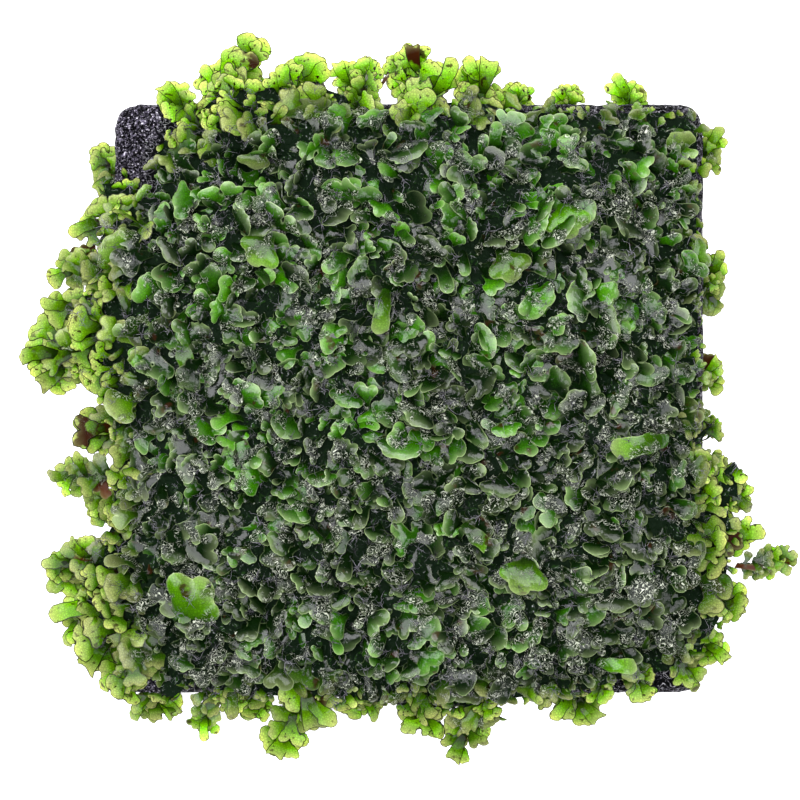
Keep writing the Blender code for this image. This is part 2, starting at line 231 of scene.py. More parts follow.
# Each frond of the mat's rim: where it leaves the mat, and its lobes in the same way
RIM_ROOT_HEIGHT = 12.6
RIM_FRONDS = (
    ((-30, 38.5), ((-33.6, 42.6, 11, 3),)),
    ((-24.5, 40), ((-24.6, 47.4, 11, 4.4), (-27.8, 44.6, 9, 3.2), (-20.4, 49, 12, 3.6))),
    ((-15, 40), ((-12.8, 46.6, 11, 3.2), (-17, 45.6, 13, 3.6))),
    ((-7, 39.5), ((-9.6, 45.8, 11, 2.6), (-5, 46.2, 13, 2.6))),
    ((2, 39), ((0.6, 48.2, 12, 3.4), (-2.4, 46.8, 10, 3), (5.6, 45.4, 13, 4))),
    ((9.5, 39.5), ((11, 46.2, 12, 3.6), (7.8, 45.8, 10, 3))),
    ((39.5, -9), ((42.8, -8.4, 13, 2.4), (45.2, -11.8, 11, 2.6), (46.2, -15, 9, 2.8))),
    ((42.5, -18.4), ((47.6, -18, 11, 3.8),)),
    ((42.5, -22.4), ((52.4, -21.4, 13, 2.2), (50.4, -22.8, 11, 2))),
    ((42, -27), ((45.8, -26.6, 10, 3.2), (45.2, -29.6, 12, 3.6))),
    ((40, -33), ((43, -35.8, 11, 4),)),
    ((36, -34.5), ((38.8, -39.2, 11, 3),)),
    ((31, -37.5), ((31.6, -41, 11, 3),)),
    ((25.5, -38.5), ((25.8, -41.6, 11, 3),)),
    ((10.5, -39.5), ((5.6, -49.2, 11, 3.4), (8, -46.8, 9, 2.6), (10.8, -43.6, 12, 2.6))),
    ((2, -41), ((3.2, -46.4, 12, 3.8), (-0.4, -44.8, 10, 3.2))),
    ((-14, -39.5), ((-12.6, -45.2, 12, 4.4), (-18.4, -49, 10, 3.6))),
    ((-24, -39), ((-24.4, -43, 11, 3.2),)),
    ((-27.5, -39.5), ((-27.4, -46, 11, 2.4),)),
    ((-36.5, -35), ((-41.6, -38.8, 11, 3.6), (-39, -41.4, 10, 3))),
    ((-39.5, -31.5), ((-44.4, -36.8, 11, 4.8),)),
    ((-42, -28.5), ((-47.8, -29.4, 11, 4.6), (-46.6, -32.8, 9, 3.2))),
    ((-42.5, -22), ((-49.8, -22.4, 11, 3.4), (-48.4, -25.6, 9, 3.2), (-45.8, -19.4, 12, 2.6))),
    ((-39.5, -10.5), ((-48.6, -10.6, 11, 3),)),
    ((-44.5, 6), ((-52.6, 6, 12, 3.8), (-50.4, 1.6, 10, 4), (-51, 10.6, 11, 3.6))),
    ((-44, 12), ((-49.4, 13.2, 11, 3.4),)),
    ((-43, 17.5), ((-49, 16.8, 12, 3.2), (-47.2, 19.6, 10, 3))),
    ((-39, 24.5), ((-45.4, 22.4, 11, 3.6), (-43.6, 26.4, 12, 3))),
)

# Camera, straight above: the picture's width at the slab's top, and the picture's middle
VIEW_WIDTH = 108.5 * MM
VIEW_MIDDLE = (-1.22 * MM, -0.2 * MM)
CAMERA_HEIGHT = 0.62
SENSOR_WIDTH = 36

# Square lamps, aimed at the origin: name, place, side and power in watts
LAMPS = (
    ("overhead", (-0.1, 0.15, 0.95), 1.0, 26.5), ("left", (-0.7, 0.35, 0.5), 0.35, 4.5),
    ("right", (0.7, -0.35, 0.5), 0.35, 2.5),
)
LAMP_COLOUR = (0.97, 0.96, 1)

# Sizes of the tissue's cells, drawn larger than the real 0.25 mm so that they show, and of the
# stone's pores, grains and lighter patches
CELL_SIZE = 0.35 * MM
STONE_PORE_SIZE = 0.36 * MM
STONE_GRAIN_SIZE = 0.22 * MM
STONE_PATCH_SIZE = 5 * MM

# Scales of the noises in the materials, in cells a metre
TISSUE_DRIFT = 190
BLOTCHES = 420
DOTS = 1500
SILT_PATCHES = 330
SILT_GRAINS = 3400
FILM_STREAKS = 1100
FELT_STRANDS = 900
SHADE_STAIN_WANDER = 300

# Kinds of node. MATHS adds its inputs up where no other operation is given
ALIGN = "FunctionNodeAlignRotationToVector"
ATTRIBUTE = "ShaderNodeAttribute"
BUMP = "ShaderNodeBump"
CELLS = "ShaderNodeTexVoronoi"
COORDINATES = "ShaderNodeTexCoord"
MATHS = "ShaderNodeMath"
MIX = "ShaderNodeMix"
NOISE = "ShaderNodeTexNoise"
RANDOM = "FunctionNodeRandomValue"
REMAP = "ShaderNodeMapRange"
STORE = "GeometryNodeStoreNamedAttribute"
STORED = "GeometryNodeInputNamedAttribute"
VECTORS = "ShaderNodeVectorMath"


def linear(hex_colour):
    """An sRGB hex colour as linear red, green and blue."""
    parts = [int(hex_colour[i:i + 2], 16) / 255 for i in (1, 3, 5)]
    return tuple(p / 12.92 if p <= 0.04045 else ((p + 0.055) / 1.055) ** 2.4 for p in parts)


def opaque(hex_colour):
    """An sRGB hex colour as linear red, green and blue with an alpha of 1."""
    return (*linear(hex_colour), 1)


def fill_inputs(tree, node, given):
    """Sets or links a node's inputs, which are given in order or by name. A node that is given
    stands for its first output in use."""
    sockets = [socket for socket in node.inputs if socket.enabled]
    by_name = {socket.name: socket for socket in reversed(sockets)}
    for place, value in given.items() if isinstance(given, dict) else enumerate(given):
        socket = by_name[place] if isinstance(place, str) else sockets[place]
        if isinstance(value, bpy.types.Node):
            value = next(output for output in value.outputs if output.enabled)
        if isinstance(value, bpy.types.NodeSocket):
            tree.links.new(value, socket)
        else:
            socket.default_value = value


def add_node(tree, kind, given=(), **settings):
    """Adds a node with its settings and its inputs."""
    node = tree.nodes.new(kind)
    for name, value in settings.items():
        setattr(node, name, value)
    fill_inputs(tree, node, given)
    return node


def length_setting(name, description, value):
    """A setting that is a length."""
    return FloatProperty(
        name=name, description=description, default=value, unit="LENGTH", precision=5
    )


def colour_setting(name, description, hex_colour):
    """A setting that is a colour."""
    return FloatVectorProperty(
        name=name, description=description, subtype="COLOR", default=linear(hex_colour)
    )


class FernMatSettings(bpy.types.PropertyGroup):
    """Sizes and colours that a user would change."""

    frond_spacing: length_setting(
        "Frond spacing", "Least distance between two fronds' roots", 1.3 * MM
    )
    thread_spacing: length_setting(
        "Thread spacing", "Least distance between two tufts of root threads", 2.2 * MM
    )
    frond_scale: FloatProperty(
        name="Frond scale", description="Size of a common frond against its plain size",
        default=0.84,
    )
    seed: IntProperty(name="Seed", description="Which mat grows", default=5)
    gloomy_tissue: colour_setting("Gloomy tissue", "Colour of shaded, ageing fronds", "#081a04")
    deep_green: colour_setting("Deep green", "Colour of old fronds", "#163802")
    mid_green: colour_setting("Mid green", "Colour of common fronds", "#2c6402")
    light_green: colour_setting("Light green", "Colour of the brightest inner fronds", "#46860c")
    # The young green is partly the colour of young growth and partly a painted glow of the light
    # that comes up through the overhanging fronds
    young_and_backlit_green: colour_setting("Young green", "Colour of the fronds at the rim", "#a4ea12")
    pore_shade: colour_setting("Dark stone", "Colour of the slab's pores", "#010102")
    stone_body: colour_setting("Stone body", "Colour of the slab between its pores", "#585362")
    stone_light: colour_setting("Light stone", "Colour of the slab's grains", "#ddd9e4")
    pore_size: length_setting("Pore size", "Spacing of the slab's pores", 1.5 * MM)
    pore_depth: length_setting("Pore depth", "Depth of the slab's pores", 0.45 * MM)


def new_material(name):
    """A material with its tree and its shader."""
    material = bpy.data.materials.new(name)
    material.use_nodes = True
    tree = material.node_tree
    return material, tree, tree.nodes["Principled BSDF"]


def root_hairs(tree, place, spacing, fine, broad):
    """Where pale root hairs curl over a surface: 1 on a hair, 0 beside it."""
    hairs = add_node(
        tree, NOISE, {"Vector": place, "Scale": 1 / spacing, "Detail": 1, "Distortion": 1.6}
    )
    hairs = add_node(tree, MATHS, (hairs, 0.5), operation="SUBTRACT")
    hairs = add_node(tree, MATHS, (hairs,), operation="ABSOLUTE")
    return add_node(tree, REMAP, (hairs, fine, broad, 1.0, 0.0))


def wet_blade(settings):
    """Wet living frond blade: thin, cell-netted tissue under a film of water. The film gives small
    pale reflections, the tissue glows where light comes through it, and the cells show as a fine
    net. Painted shade darkens each blade towards its base, painted light brightens its tip, and its
    margin is painted pale as a highlight. Young blades are clearer and yellower, the yellow partly
    a painted glow of the light coming up through them from below, with a dark line at their rims
    that is partly painted shadow."""
    material, tree, shader = new_material("frond_blade_wet")
    place = add_node(tree, COORDINATES).outputs["Object"]
    rim, along, tone, youth, gloom, withered = (
        add_node(tree, ATTRIBUTE, attribute_name=key).outputs["Fac"]
        for key in ("rim", "along", "tone", "youth", "gloom", "withered")
    )

    # Vigour goes from shaded, ageing tissue at 0 to the brightest at 1. It also falls towards each
    # blade's base and rises towards its tip, as painted shade and painted light
    drift = add_node(tree, NOISE, {"Vector": place, "Scale": TISSUE_DRIFT, "Detail": 3})
    vigour_and_shade = add_node(tree, MATHS, (tone, add_node(tree, REMAP, (drift, 0.3, 0.7, -0.35, 0.35))))
    vigour_and_shade = add_node(tree, MATHS, (vigour_and_shade, gloom), operation="SUBTRACT")
    vigour_and_shade = add_node(tree, MATHS, (vigour_and_shade, add_node(tree, REMAP, (along, 0.15, 1, -0.4, 0.3))))
    tissue = add_node(tree, "ShaderNodeValToRGB", (vigour_and_shade,))
    stops = tissue.color_ramp.elements
    stops[0].position, stops[0].color = 0.05, (*settings.gloomy_tissue, 1)
    stops[1].position, stops[1].color = 1.0, (*settings.light_green, 1)
    for position, colour in ((0.36, settings.deep_green), (0.78, settings.mid_green)):
        stops.new(position).color = (*colour, 1)
    # The rim's colour is brighter and yellower, partly a painted glow of the light coming up
    # through the overhanging fronds. Their tips are painted paler still as a painted glow, and the
    # colour fades towards each blade's base as painted shade
    fresh_and_glowing = add_node(
        tree, MIX,
        (
            add_node(tree, REMAP, (vigour_and_shade, -0.3, 0.8, 0.15, 1.0)),
            (*settings.light_green, 1), (*settings.young_and_backlit_green, 1),
        ),
        data_type="RGBA",
    )
    tip_light = add_node(tree, REMAP, (along, 0.5, 0.95, 0.0, 1.0))
    fresh_and_glowing = add_node(tree, MIX, (tip_light, fresh_and_glowing, opaque("#f8fd9c")), data_type="RGBA")
    from_base = add_node(tree, REMAP, (along, 0.05, 0.6, 0.1, 1.0))
    young_and_backlit = add_node(tree, MATHS, (youth, from_base), operation="MULTIPLY")
    aged = add_node(tree, MIX, (young_and_backlit, tissue, fresh_and_glowing), data_type="RGBA")

    # Each cell of the tissue is a little darker at its walls
    cells = add_node(
        tree, CELLS, {"Vector": place, "Scale": 1 / CELL_SIZE}, feature="DISTANCE_TO_EDGE",
    )
    net = add_node(tree, REMAP, (cells, 0.0, 0.25, 0.65, 1.08))
    netted = add_node(tree, MIX, (1.0, aged, net), data_type="RGBA", blend_type="MULTIPLY")

    # Brown-red dead spots, and small brown dots on young blades
    blotch = add_node(tree, NOISE, {"Vector": place, "Scale": BLOTCHES, "Detail": 3})
    dead = add_node(tree, REMAP, (blotch, 0.64, 0.7, 0.0, 0.85))
    dots = add_node(tree, NOISE, {"Vector": place, "Scale": DOTS, "Detail": 1})
    dots = add_node(tree, REMAP, (dots, 0.64, 0.68, 0.0, 0.9))
    dots = add_node(tree, MATHS, (dots, youth), operation="MULTIPLY")
    dead = add_node(tree, MATHS, (dead, dots), operation="MAXIMUM")
    spotted = add_node(tree, MIX, (dead, netted, opaque("#2c170a")), data_type="RGBA")
    brown = add_node(
        tree, MIX, (drift, opaque("#1a110b"), opaque("#5a2c0e")), data_type="RGBA"
    )
    dry = add_node(tree, REMAP, (blotch, 0.42, 0.5))
    dry = add_node(tree, MATHS, (dry, withered), operation="MULTIPLY")
    spotted = add_node(tree, MIX, (dry, spotted, brown), data_type="RGBA")

    # The margin, 0.2 mm of thinner tissue with a soft halo inside it, is painted paler towards the
    # tip: a painted highlight of the light caught in the thin edge and coming through it. A young
    # blade has a dark line of about 0.15 mm at its very edge, partly a brown edge and partly
    # painted as a thin shadow line
    margin_highlight = add_node(tree, REMAP, (rim, 0.0, 0.2, 0.9, 0.0))
    tip_halo_glow = add_node(tree, REMAP, (rim, 0.0, 0.9, 0.5, 0.2))
    tip_glow_reach = add_node(tree, REMAP, (along, 0.6, 1.0))
    tip_halo_glow = add_node(tree, MATHS, (tip_halo_glow, tip_glow_reach), operation="MULTIPLY")
    margin_highlight = add_node(tree, MATHS, (margin_highlight, tip_halo_glow), operation="MAXIMUM")
    margin_highlight = add_node(
        tree, MATHS, (margin_highlight, add_node(tree, REMAP, (tone, 0.0, 0.6, 0.3, 1.0))),
        operation="MULTIPLY",
    )
    at_tip = add_node(tree, REMAP, (along, 0.35, 0.95, 0.1, 1.0))
    margin_highlight = add_node(tree, MATHS, (margin_highlight, at_tip), operation="MULTIPLY")
    pale = add_node(
        tree, MIX, (youth, opaque("#a9bf84"), opaque("#f2f9a0")), data_type="RGBA"
    )
    thin = add_node(tree, MIX, (margin_highlight, spotted, pale), data_type="RGBA")
    line = add_node(tree, REMAP, (rim, 0.08, 0.2, 1.0, 0.0))
    line = add_node(
        tree, MATHS, (line, add_node(tree, REMAP, (youth, 0.1, 0.6))), operation="MULTIPLY"
    )
    edged = add_node(tree, MIX, (line, thin, opaque("#141602")), data_type="RGBA")

    # Patches of silt break the film of water up, the more where the growth is gloomy. Each holds
    # pale curls of root hair, painted near white as the wet glints on them, and dark mud
    silt = add_node(tree, NOISE, {"Vector": place, "Scale": SILT_PATCHES, "Detail": 3})
    silt = add_node(tree, MATHS, (silt, add_node(tree, REMAP, (gloom, 0.15, 0.65, 0.0, 0.05))))
    silted = add_node(tree, REMAP, (silt, 0.54, 0.62))
    grain = add_node(tree, NOISE, {"Vector": place, "Scale": SILT_GRAINS, "Detail": 2})
    glinting_curls = root_hairs(tree, place, 0.87 * MM, 0.008, 0.04)
    mud = add_node(
        tree, MIX, (glinting_curls, opaque("#071503"), opaque("#e2e8d2")), data_type="RGBA"
    )
    clear = add_node(tree, REMAP, (youth, 0.0, 0.6, 1.0, 0.1))
    silted = add_node(tree, MATHS, (silted, clear), operation="MULTIPLY")
    muddy = add_node(tree, MATHS, (silted, 0.8), operation="MULTIPLY")
    silty = add_node(tree, MIX, (muddy, edged, mud), data_type="RGBA")
    streaks = add_node(
        tree, NOISE, {"Vector": place, "Scale": FILM_STREAKS, "Detail": 4, "Distortion": 1.0}
    )
    relief = add_node(tree, MATHS, (glinting_curls, grain))
    streaks = add_node(tree, MATHS, (streaks, clear), operation="MULTIPLY")
    relief = add_node(tree, MIX, (silted, streaks, relief), data_type="FLOAT")
    bump = add_node(
        tree, BUMP,
        {
            "Height": relief, "Distance": 0.16 * MM,
            "Strength": add_node(tree, REMAP, (silted, 0.0, 1.0, 0.6, 0.85)),
        },
    )

    # The film of water is thinner on young, withered and gloomy tissue
    roughness = add_node(tree, REMAP, (silted, 0.0, 1.0, 0.1, 0.2))
    film = add_node(tree, REMAP, (youth, 0.0, 0.8, 0.48, 0.15))
    damp = add_node(tree, REMAP, (dry, 0.0, 1.0, 1.0, 0.2))
    film = add_node(tree, MATHS, (film, damp), operation="MULTIPLY")
    pit_shade_and_dry_film = add_node(tree, REMAP, (gloom, 0.2, 0.7, 1.0, 0.5))
    film = add_node(tree, MATHS, (film, pit_shade_and_dry_film), operation="MULTIPLY")
    fill_inputs(
        tree, shader,
        {
            "Base Color": silty, "Roughness": roughness, "Normal": bump,
            "Specular IOR Level": film, "IOR": 1.45,
        },
    )

    glow = add_node(tree, "ShaderNodeBsdfTranslucent", {"Color": silty, "Normal": bump})
    through = add_node(tree, REMAP, (youth, 0.0, 0.8, 0.2, 0.7))
    surface = add_node(tree, "ShaderNodeMixShader", (through, shader, glow))
    fill_inputs(tree, tree.nodes["Material Output"], {"Surface": surface})
    return material


def root_felt():
    """Felt of wet roots and trapped silt, painted nearly black as the deep shade in the gaps
    between the fronds, with the glint of single strands and pale curls of root hair."""
    material, tree, shader = new_material("root_felt_wet")
    place = add_node(tree, COORDINATES).outputs["Object"]
    strands = add_node(
        tree, NOISE, {"Vector": place, "Scale": FELT_STRANDS, "Detail": 4, "Distortion": 1.5}
    )
    pale = add_node(tree, REMAP, (strands, 0.56, 0.72))
    # Painted shade: the felt is nearly black as the deep gaps between the fronds are, and its
    # lighter strands are painted glints
    colour = add_node(
        tree, MIX, (pale, opaque("#071307"), opaque("#1c3611")), data_type="RGBA"
    )
    hairs = root_hairs(tree, place, 1.1 * MM, 0.005, 0.025)
    hairs = add_node(tree, MATHS, (hairs, pale), operation="MULTIPLY")
    colour = add_node(tree, MIX, (hairs, colour, opaque("#a3a2a8")), data_type="RGBA")
    bump = add_node(tree, BUMP, {"Height": strands, "Distance": 0.5 * MM, "Strength": 1.0})
    fill_inputs(
        tree, shader,
        {"Base Color": colour, "Normal": bump, "Roughness": 0.6, "Specular IOR Level": 0.03},
    )
    return material


def root_thread():
    """Root threads: thin, wet, grey-brown strands that catch the light."""
    material, tree, shader = new_material("root_thread_wet")
    tone = add_node(tree, ATTRIBUTE, attribute_name="tone").outputs["Fac"]
    colour = add_node(
        tree, MIX, (tone, opaque("#0b0a08"), opaque("#77757d")), data_type="RGBA"
    )
    fill_inputs(tree, shader, {"Base Color": colour, "Roughness": 0.2})
    return material


def porous_stone(settings):
    """Porous volcanic stone, sawn and tumbled: a dark violet-grey body with pores of about 0.4 mm,
    painted black as the shade in them and the darker the deeper a pit is sunk, and sparse pale
    grains, painted bright enough to stand in for glints as well; matt in the pores and damp between
    them. Along the mat it is painted nearly black, partly a stain and partly painted shade under
    the mat's overhang, and pale root hairs run over that dark band."""
    material, tree, shader = new_material("porous_stone_sawn")
    place = add_node(tree, COORDINATES).outputs["Object"]
    pit, from_mat = (
        add_node(tree, ATTRIBUTE, attribute_name=key).outputs["Fac"] for key in ("pit", "from_mat")
    )
    pores = add_node(
        tree, NOISE, {"Vector": place, "Scale": 1 / STONE_PORE_SIZE, "Detail": 4, "Roughness": 0.7}
    )
    body = add_node(tree, REMAP, (pores, 0.46, 0.56))
    # Painted shade: the pores are painted nearly black, and the deeper a pit is sunk, the darker it
    # is painted
    pit_shade_and_dry_film = add_node(tree, REMAP, (pit, 0.0, 1.0, 1.0, 0.3))
    paleness = add_node(tree, MATHS, (body, pit_shade_and_dry_film), operation="MULTIPLY")
    pored = add_node(
        tree, MIX, (paleness, (*settings.pore_shade, 1), (*settings.stone_body, 1)),
        data_type="RGBA",
    )
    # The pale grains are painted bright enough to stand in for the stone's small wet glints as well
    grain = add_node(tree, NOISE, {"Vector": place, "Scale": 1 / STONE_GRAIN_SIZE, "Detail": 2})
    grains = add_node(tree, REMAP, (grain, 0.56, 0.66, 0.0, 1.0))
    grains = add_node(tree, MATHS, (grains, body), operation="MULTIPLY")
    speckled = add_node(
        tree, MIX, (grains, pored, (*settings.stone_light, 1)), data_type="RGBA"
    )

    # Broad patches of the stone are lighter and darker
    drift = add_node(tree, NOISE, {"Vector": place, "Scale": 1 / STONE_PATCH_SIZE, "Detail": 2})
    drift = add_node(tree, REMAP, (drift, 0.35, 0.65, 0.6, 1.2))
    speckled = add_node(
        tree, MIX, (1.0, speckled, drift), data_type="RGBA", blend_type="MULTIPLY"
    )

    # The dark band, partly a stain and partly painted shade under the mat's overhang, reaches 1 to
    # 2 mm from the mat over the slab's top, and wanders
    wander = add_node(tree, NOISE, {"Vector": place, "Scale": SHADE_STAIN_WANDER, "Detail": 2})
    wander = add_node(tree, MATHS, (wander, 3 * MM), operation="MULTIPLY")
    edge = add_node(tree, MATHS, (from_mat, wander))
    shade_stain = add_node(tree, REMAP, (edge, 2.4 * MM, 3.4 * MM, 0.95, 0.0))
    height = add_node(tree, "ShaderNodeSeparateXYZ", (place,)).outputs["Z"]
    on_top = add_node(tree, REMAP, (height, SLAB_HIGH.z - 1.5 * MM, SLAB_HIGH.z - 0.8 * MM))
    shade_stain = add_node(tree, MATHS, (shade_stain, on_top), operation="MULTIPLY")
    hairs = root_hairs(tree, place, 1.2 * MM, 0.006, 0.03)
    rooted = add_node(
        tree, MIX, (hairs, opaque("#040605"), opaque("#a3a2a8")), data_type="RGBA"
    )
    shade_stained = add_node(tree, MIX, (shade_stain, speckled, rooted), data_type="RGBA")
    roughness = add_node(tree, REMAP, (body, 0.0, 0.6, 0.85, 0.35))
    bump = add_node(tree, BUMP, {"Height": body, "Distance": 0.3 * MM, "Strength": 1.0})
    fill_inputs(
        tree, shader,
        {
            "Base Color": shade_stained, "Roughness": roughness, "Normal": bump,
            "Specular IOR Level": 0.05,
        },
    )
    return material


class Blade:
    """A forked blade seen flat: strips with round ends, blended where they join."""

    def __init__(self, strips, rng, wave_height):
        self.start = np.array([strip[0] for strip in strips])
        self.end = np.array([strip[1] for strip in strips])
        self.start_radius = np.array([strip[2] for strip in strips])
        self.end_radius = np.array([strip[3] for strip in strips])
        self.wave_height = wave_height
        self.phases = [rng.uniform(0, math.tau) for _ in range(3)]

    def depth(self, points):
        """How far inside the outline each point lies, below zero outside."""
        along = self.end - self.start
        length_squared = (along ** 2).sum(1)
        offset = points[:, None, :] - self.start[None]
        share = np.clip((offset * along[None]).sum(2) / length_squared, 0, 1)
        nearest = self.start[None] + along[None] * share[..., None]
        radius = self.start_radius + (self.end_radius - self.start_radius) * share
        gap = np.linalg.norm(points[:, None, :] - nearest, axis=2) - radius
        joined = -JOIN_BLEND * np.log(np.exp(-gap / JOIN_BLEND).sum(1))
        x, y = points[:, 0] / MM, points[:, 1] / MM
        waves = np.sin(1.9 * x + self.phases[0]) + np.sin(2.3 * y + self.phases[1])
        waves += np.sin(3.1 * (x + y) + self.phases[2])
        return -joined + self.wave_height * waves

    def slope(self, points):
        """Direction in which the depth grows fastest."""
        step = 0.01 * MM
        across = self.depth(points + [step, 0]) - self.depth(points - [step, 0])
        up = self.depth(points + [0, step]) - self.depth(points - [0, step])
        found = np.stack([across, up], 1)
        return found / np.maximum(np.linalg.norm(found, axis=1, keepdims=True), 1e-12)

    @staticmethod
    def edges_of(faces):
        """The faces' edges as pairs of points in rising order, and how many faces use each."""
        ends = np.sort(np.concatenate([faces[:, [0, 1]], faces[:, [1, 2]], faces[:, [2, 0]]]), 1)
        return np.unique(ends, axis=0, return_counts=True)

    def split_chords(self, points, faces):
        """Puts a point on each inner edge that joins two outline points, so that the blade's two
        sides meet at its outline alone."""
        edges, uses = self.edges_of(faces)
        rim = np.zeros(len(points), bool)
        rim[edges[uses == 1]] = True
        faces = [tuple(face) for face in faces.tolist()]
        for a, b in edges[(uses == 2) & rim[edges].all(1)].tolist():
            middle = len(points)
            points = np.append(points, [(points[a] + points[b]) / 2], 0)
            for face in [face for face in faces if a in face and b in face]:
                faces.remove(face)
                for end in (a, b):
                    faces.append(tuple(middle if corner == end else corner for corner in face))
        return points, np.array(faces)

    def mesh_flat(self, grid):
        """Points, triangles and the mask of outline points of an even mesh of the blade."""
        reach = max(self.start_radius.max(), self.end_radius.max()) + 2 * grid
        low = np.minimum(self.start, self.end).min(0) - reach
        high = np.maximum(self.start, self.end).max(0) + reach
        columns = int((high[0] - low[0]) / grid) + 2
        rows = int((high[1] - low[1]) / (grid * math.sqrt(0.75))) + 2
        row, column = np.divmod(np.arange(rows * columns), columns)
        points = np.stack(
            [low[0] + (column + (row % 2) / 2) * grid, low[1] + row * grid * math.sqrt(0.75)], 1
        )
        faces = []
        for r in range(rows - 1):
            for c in range(columns - 1):
                a, b = r * columns + c, r * columns + c + 1
                d, e = a + columns, b + columns
                faces += [(a, b, e), (a, e, d)] if r % 2 else [(a, b, d), (b, e, d)]
        faces = np.array(faces)
        faces = faces[self.depth(points[faces].mean(1)) > 0.1 * grid]
        used, faces = np.unique(faces, return_inverse=True)
        points, faces = self.split_chords(points[used], faces.reshape(-1, 3))
        edges, uses = self.edges_of(faces)
        rim_edges = edges[uses == 1]
        rim = np.zeros(len(points), bool)
        rim[rim_edges] = True
        for _ in range(OUTLINE_STEPS):
            points = self.relax(points, edges[~rim[edges].all(1)], ~rim)
            points = self.relax(points, rim_edges, rim)
            points[rim] -= self.slope(points[rim]) * self.depth(points[rim])[:, None]
        return points, faces, rim

    @staticmethod
    def relax(points, edges, chosen):
        """Moves the chosen points half way to the middle of those that they share an edge with."""
        total = np.zeros_like(points)
        count = np.zeros(len(points))
        for a, b in ((0, 1), (1, 0)):
            np.add.at(total, edges[:, a], points[edges[:, b]])
            np.add.at(count, edges[:, a], 1)
        chosen = chosen & (count > 0)
        moved = points.copy()
        moved[chosen] = (points[chosen] + total[chosen] / count[chosen, None]) / 2
        return moved


def blade_mesh(name, strips, rng, lift, material, wave_height, grid):
    """A thin closed blade over the strips. lift(flat points, depth) gives its middle surface."""
    blade = Blade(strips, rng, wave_height)
    flat, faces, rim = blade.mesh_flat(grid)
    depth = np.maximum(blade.depth(flat), 0)
    depth[rim] = 0
    middle, normal = lift(flat, depth)
    edge = np.clip(depth / EDGE_ROUNDING, 0, 1)
    half = BLADE_THICKNESS / 2 * np.sqrt(1 - (1 - edge) ** 2)
    upper = middle + normal * half[:, None]
    lower = (middle - normal * half[:, None])[~rim]
    twin = np.arange(len(flat))
    twin[~rim] = len(flat) + np.arange((~rim).sum())
    mesh = bpy.data.meshes.new(name)
    mesh.from_pydata(
        np.concatenate([upper, lower]).tolist(), [],
        np.concatenate([faces, twin[faces][:, ::-1]]).tolist(),
    )
    length = flat[:, 1].max()
    for attribute, values in (("rim", depth / MM), ("along", flat[:, 1] / length)):
        made = mesh.attributes.new(attribute, "FLOAT", "POINT")
        made.data.foreach_set("value", np.concatenate([values, values[~rim]]).astype(np.float32))
    mesh.shade_smooth()
    mesh.set_sharp_from_angle(angle=RIM_FOLD)
    mesh.materials.append(material)
    return mesh


def arched_lift(rng, steepness):
    """Lifts a flat blade that grows along +Y: it rises and arches over, and its flat top curls
    down, or in a few blades up, at the rim. A steepness of 1 is that of the blades inside the
    mat, and the fringe's are flatter."""
    first_pitch = math.radians(rng.uniform(35, 70)) * steepness
    last_pitch = math.radians(rng.uniform(-35, 15)) * steepness
    twist = rng.uniform(-0.3, 0.3)
    curl = rng.uniform(-0.2, 0.55) * steepness * MM
    wave = rng.uniform(0.03, 0.13) * MM
    phase = rng.uniform(0, math.tau)

    def lift(flat, depth):
        x, y = flat[:, 0], flat[:, 1]
        share = np.clip(y / FROND_LENGTH, -0.2, 1.2)
        pitch = first_pitch + (last_pitch - first_pitch) * share
        steps = np.linspace(0, 1, 16)
        path = first_pitch + (last_pitch - first_pitch) * steps[None] * share[:, None]
        run = y * np.cos(path).mean(1)
        rise = y * np.sin(path).mean(1)
        height = -curl * (1 - np.clip(depth / CURL_WIDTH, 0, 1)) ** 2
        height += wave * np.sin(x / MM * 2.2 + phase) * np.cos(y / MM * 1.5 + phase)
        height += twist * x * share
        middle = np.stack([x, run - height * np.sin(pitch), rise + height * np.cos(pitch)], 1)
        normal = np.stack([np.zeros_like(x), -np.sin(pitch), np.cos(pitch)], 1)
        return middle, normal

    return lift


def forked_strips(rng, forks, breadth, neck_radius, lobe_radius):
    """Strips of a frond that grows along +Y and forks this many times."""
    neck = neck_radius * breadth
    reach = (FROND_LENGTH - sum(lobe_radius) / 2 * breadth) / (forks + 1)
    strips = []

    def bud(start, end, side):
        share = rng.uniform(0.3, 0.8)
        foot = start + (end - start) * share
        out = (end - start) / np.linalg.norm(end - start)
        across = np.array([-out[1], out[0]]) * side
        tip = foot + (across + out * rng.uniform(0.3, 1.1)) * rng.uniform(0.9, 1.5) * MM
        strips.append((foot, tip, neck * 0.8, rng.uniform(0.55, 0.9) * MM))

    def grow(start, heading, forks_left, radius):
        last = forks_left == 0
        length = reach * rng.uniform(0.85, 1.2)
        end_radius = rng.uniform(*lobe_radius) * breadth if last else neck * 1.25
        end = start + np.array([math.sin(heading), math.cos(heading)]) * length
        strips.append((start, end, radius, end_radius))
        if forks < 2 and rng.random() < 0.6:
            bud(start, end, rng.choice((-1, 1)))
        if last:
            return
        spread = math.radians(rng.uniform(24, 42))
        lean = rng.uniform(-0.2, 0.2)
        for side in (-1, 0, 1) if rng.random() < 0.3 else (-1, 1):
            grow(end, heading + lean + side * spread, forks_left - 1, end_radius * 0.9)

    grow(np.zeros(2), 0.0, forks, neck)
    return strips


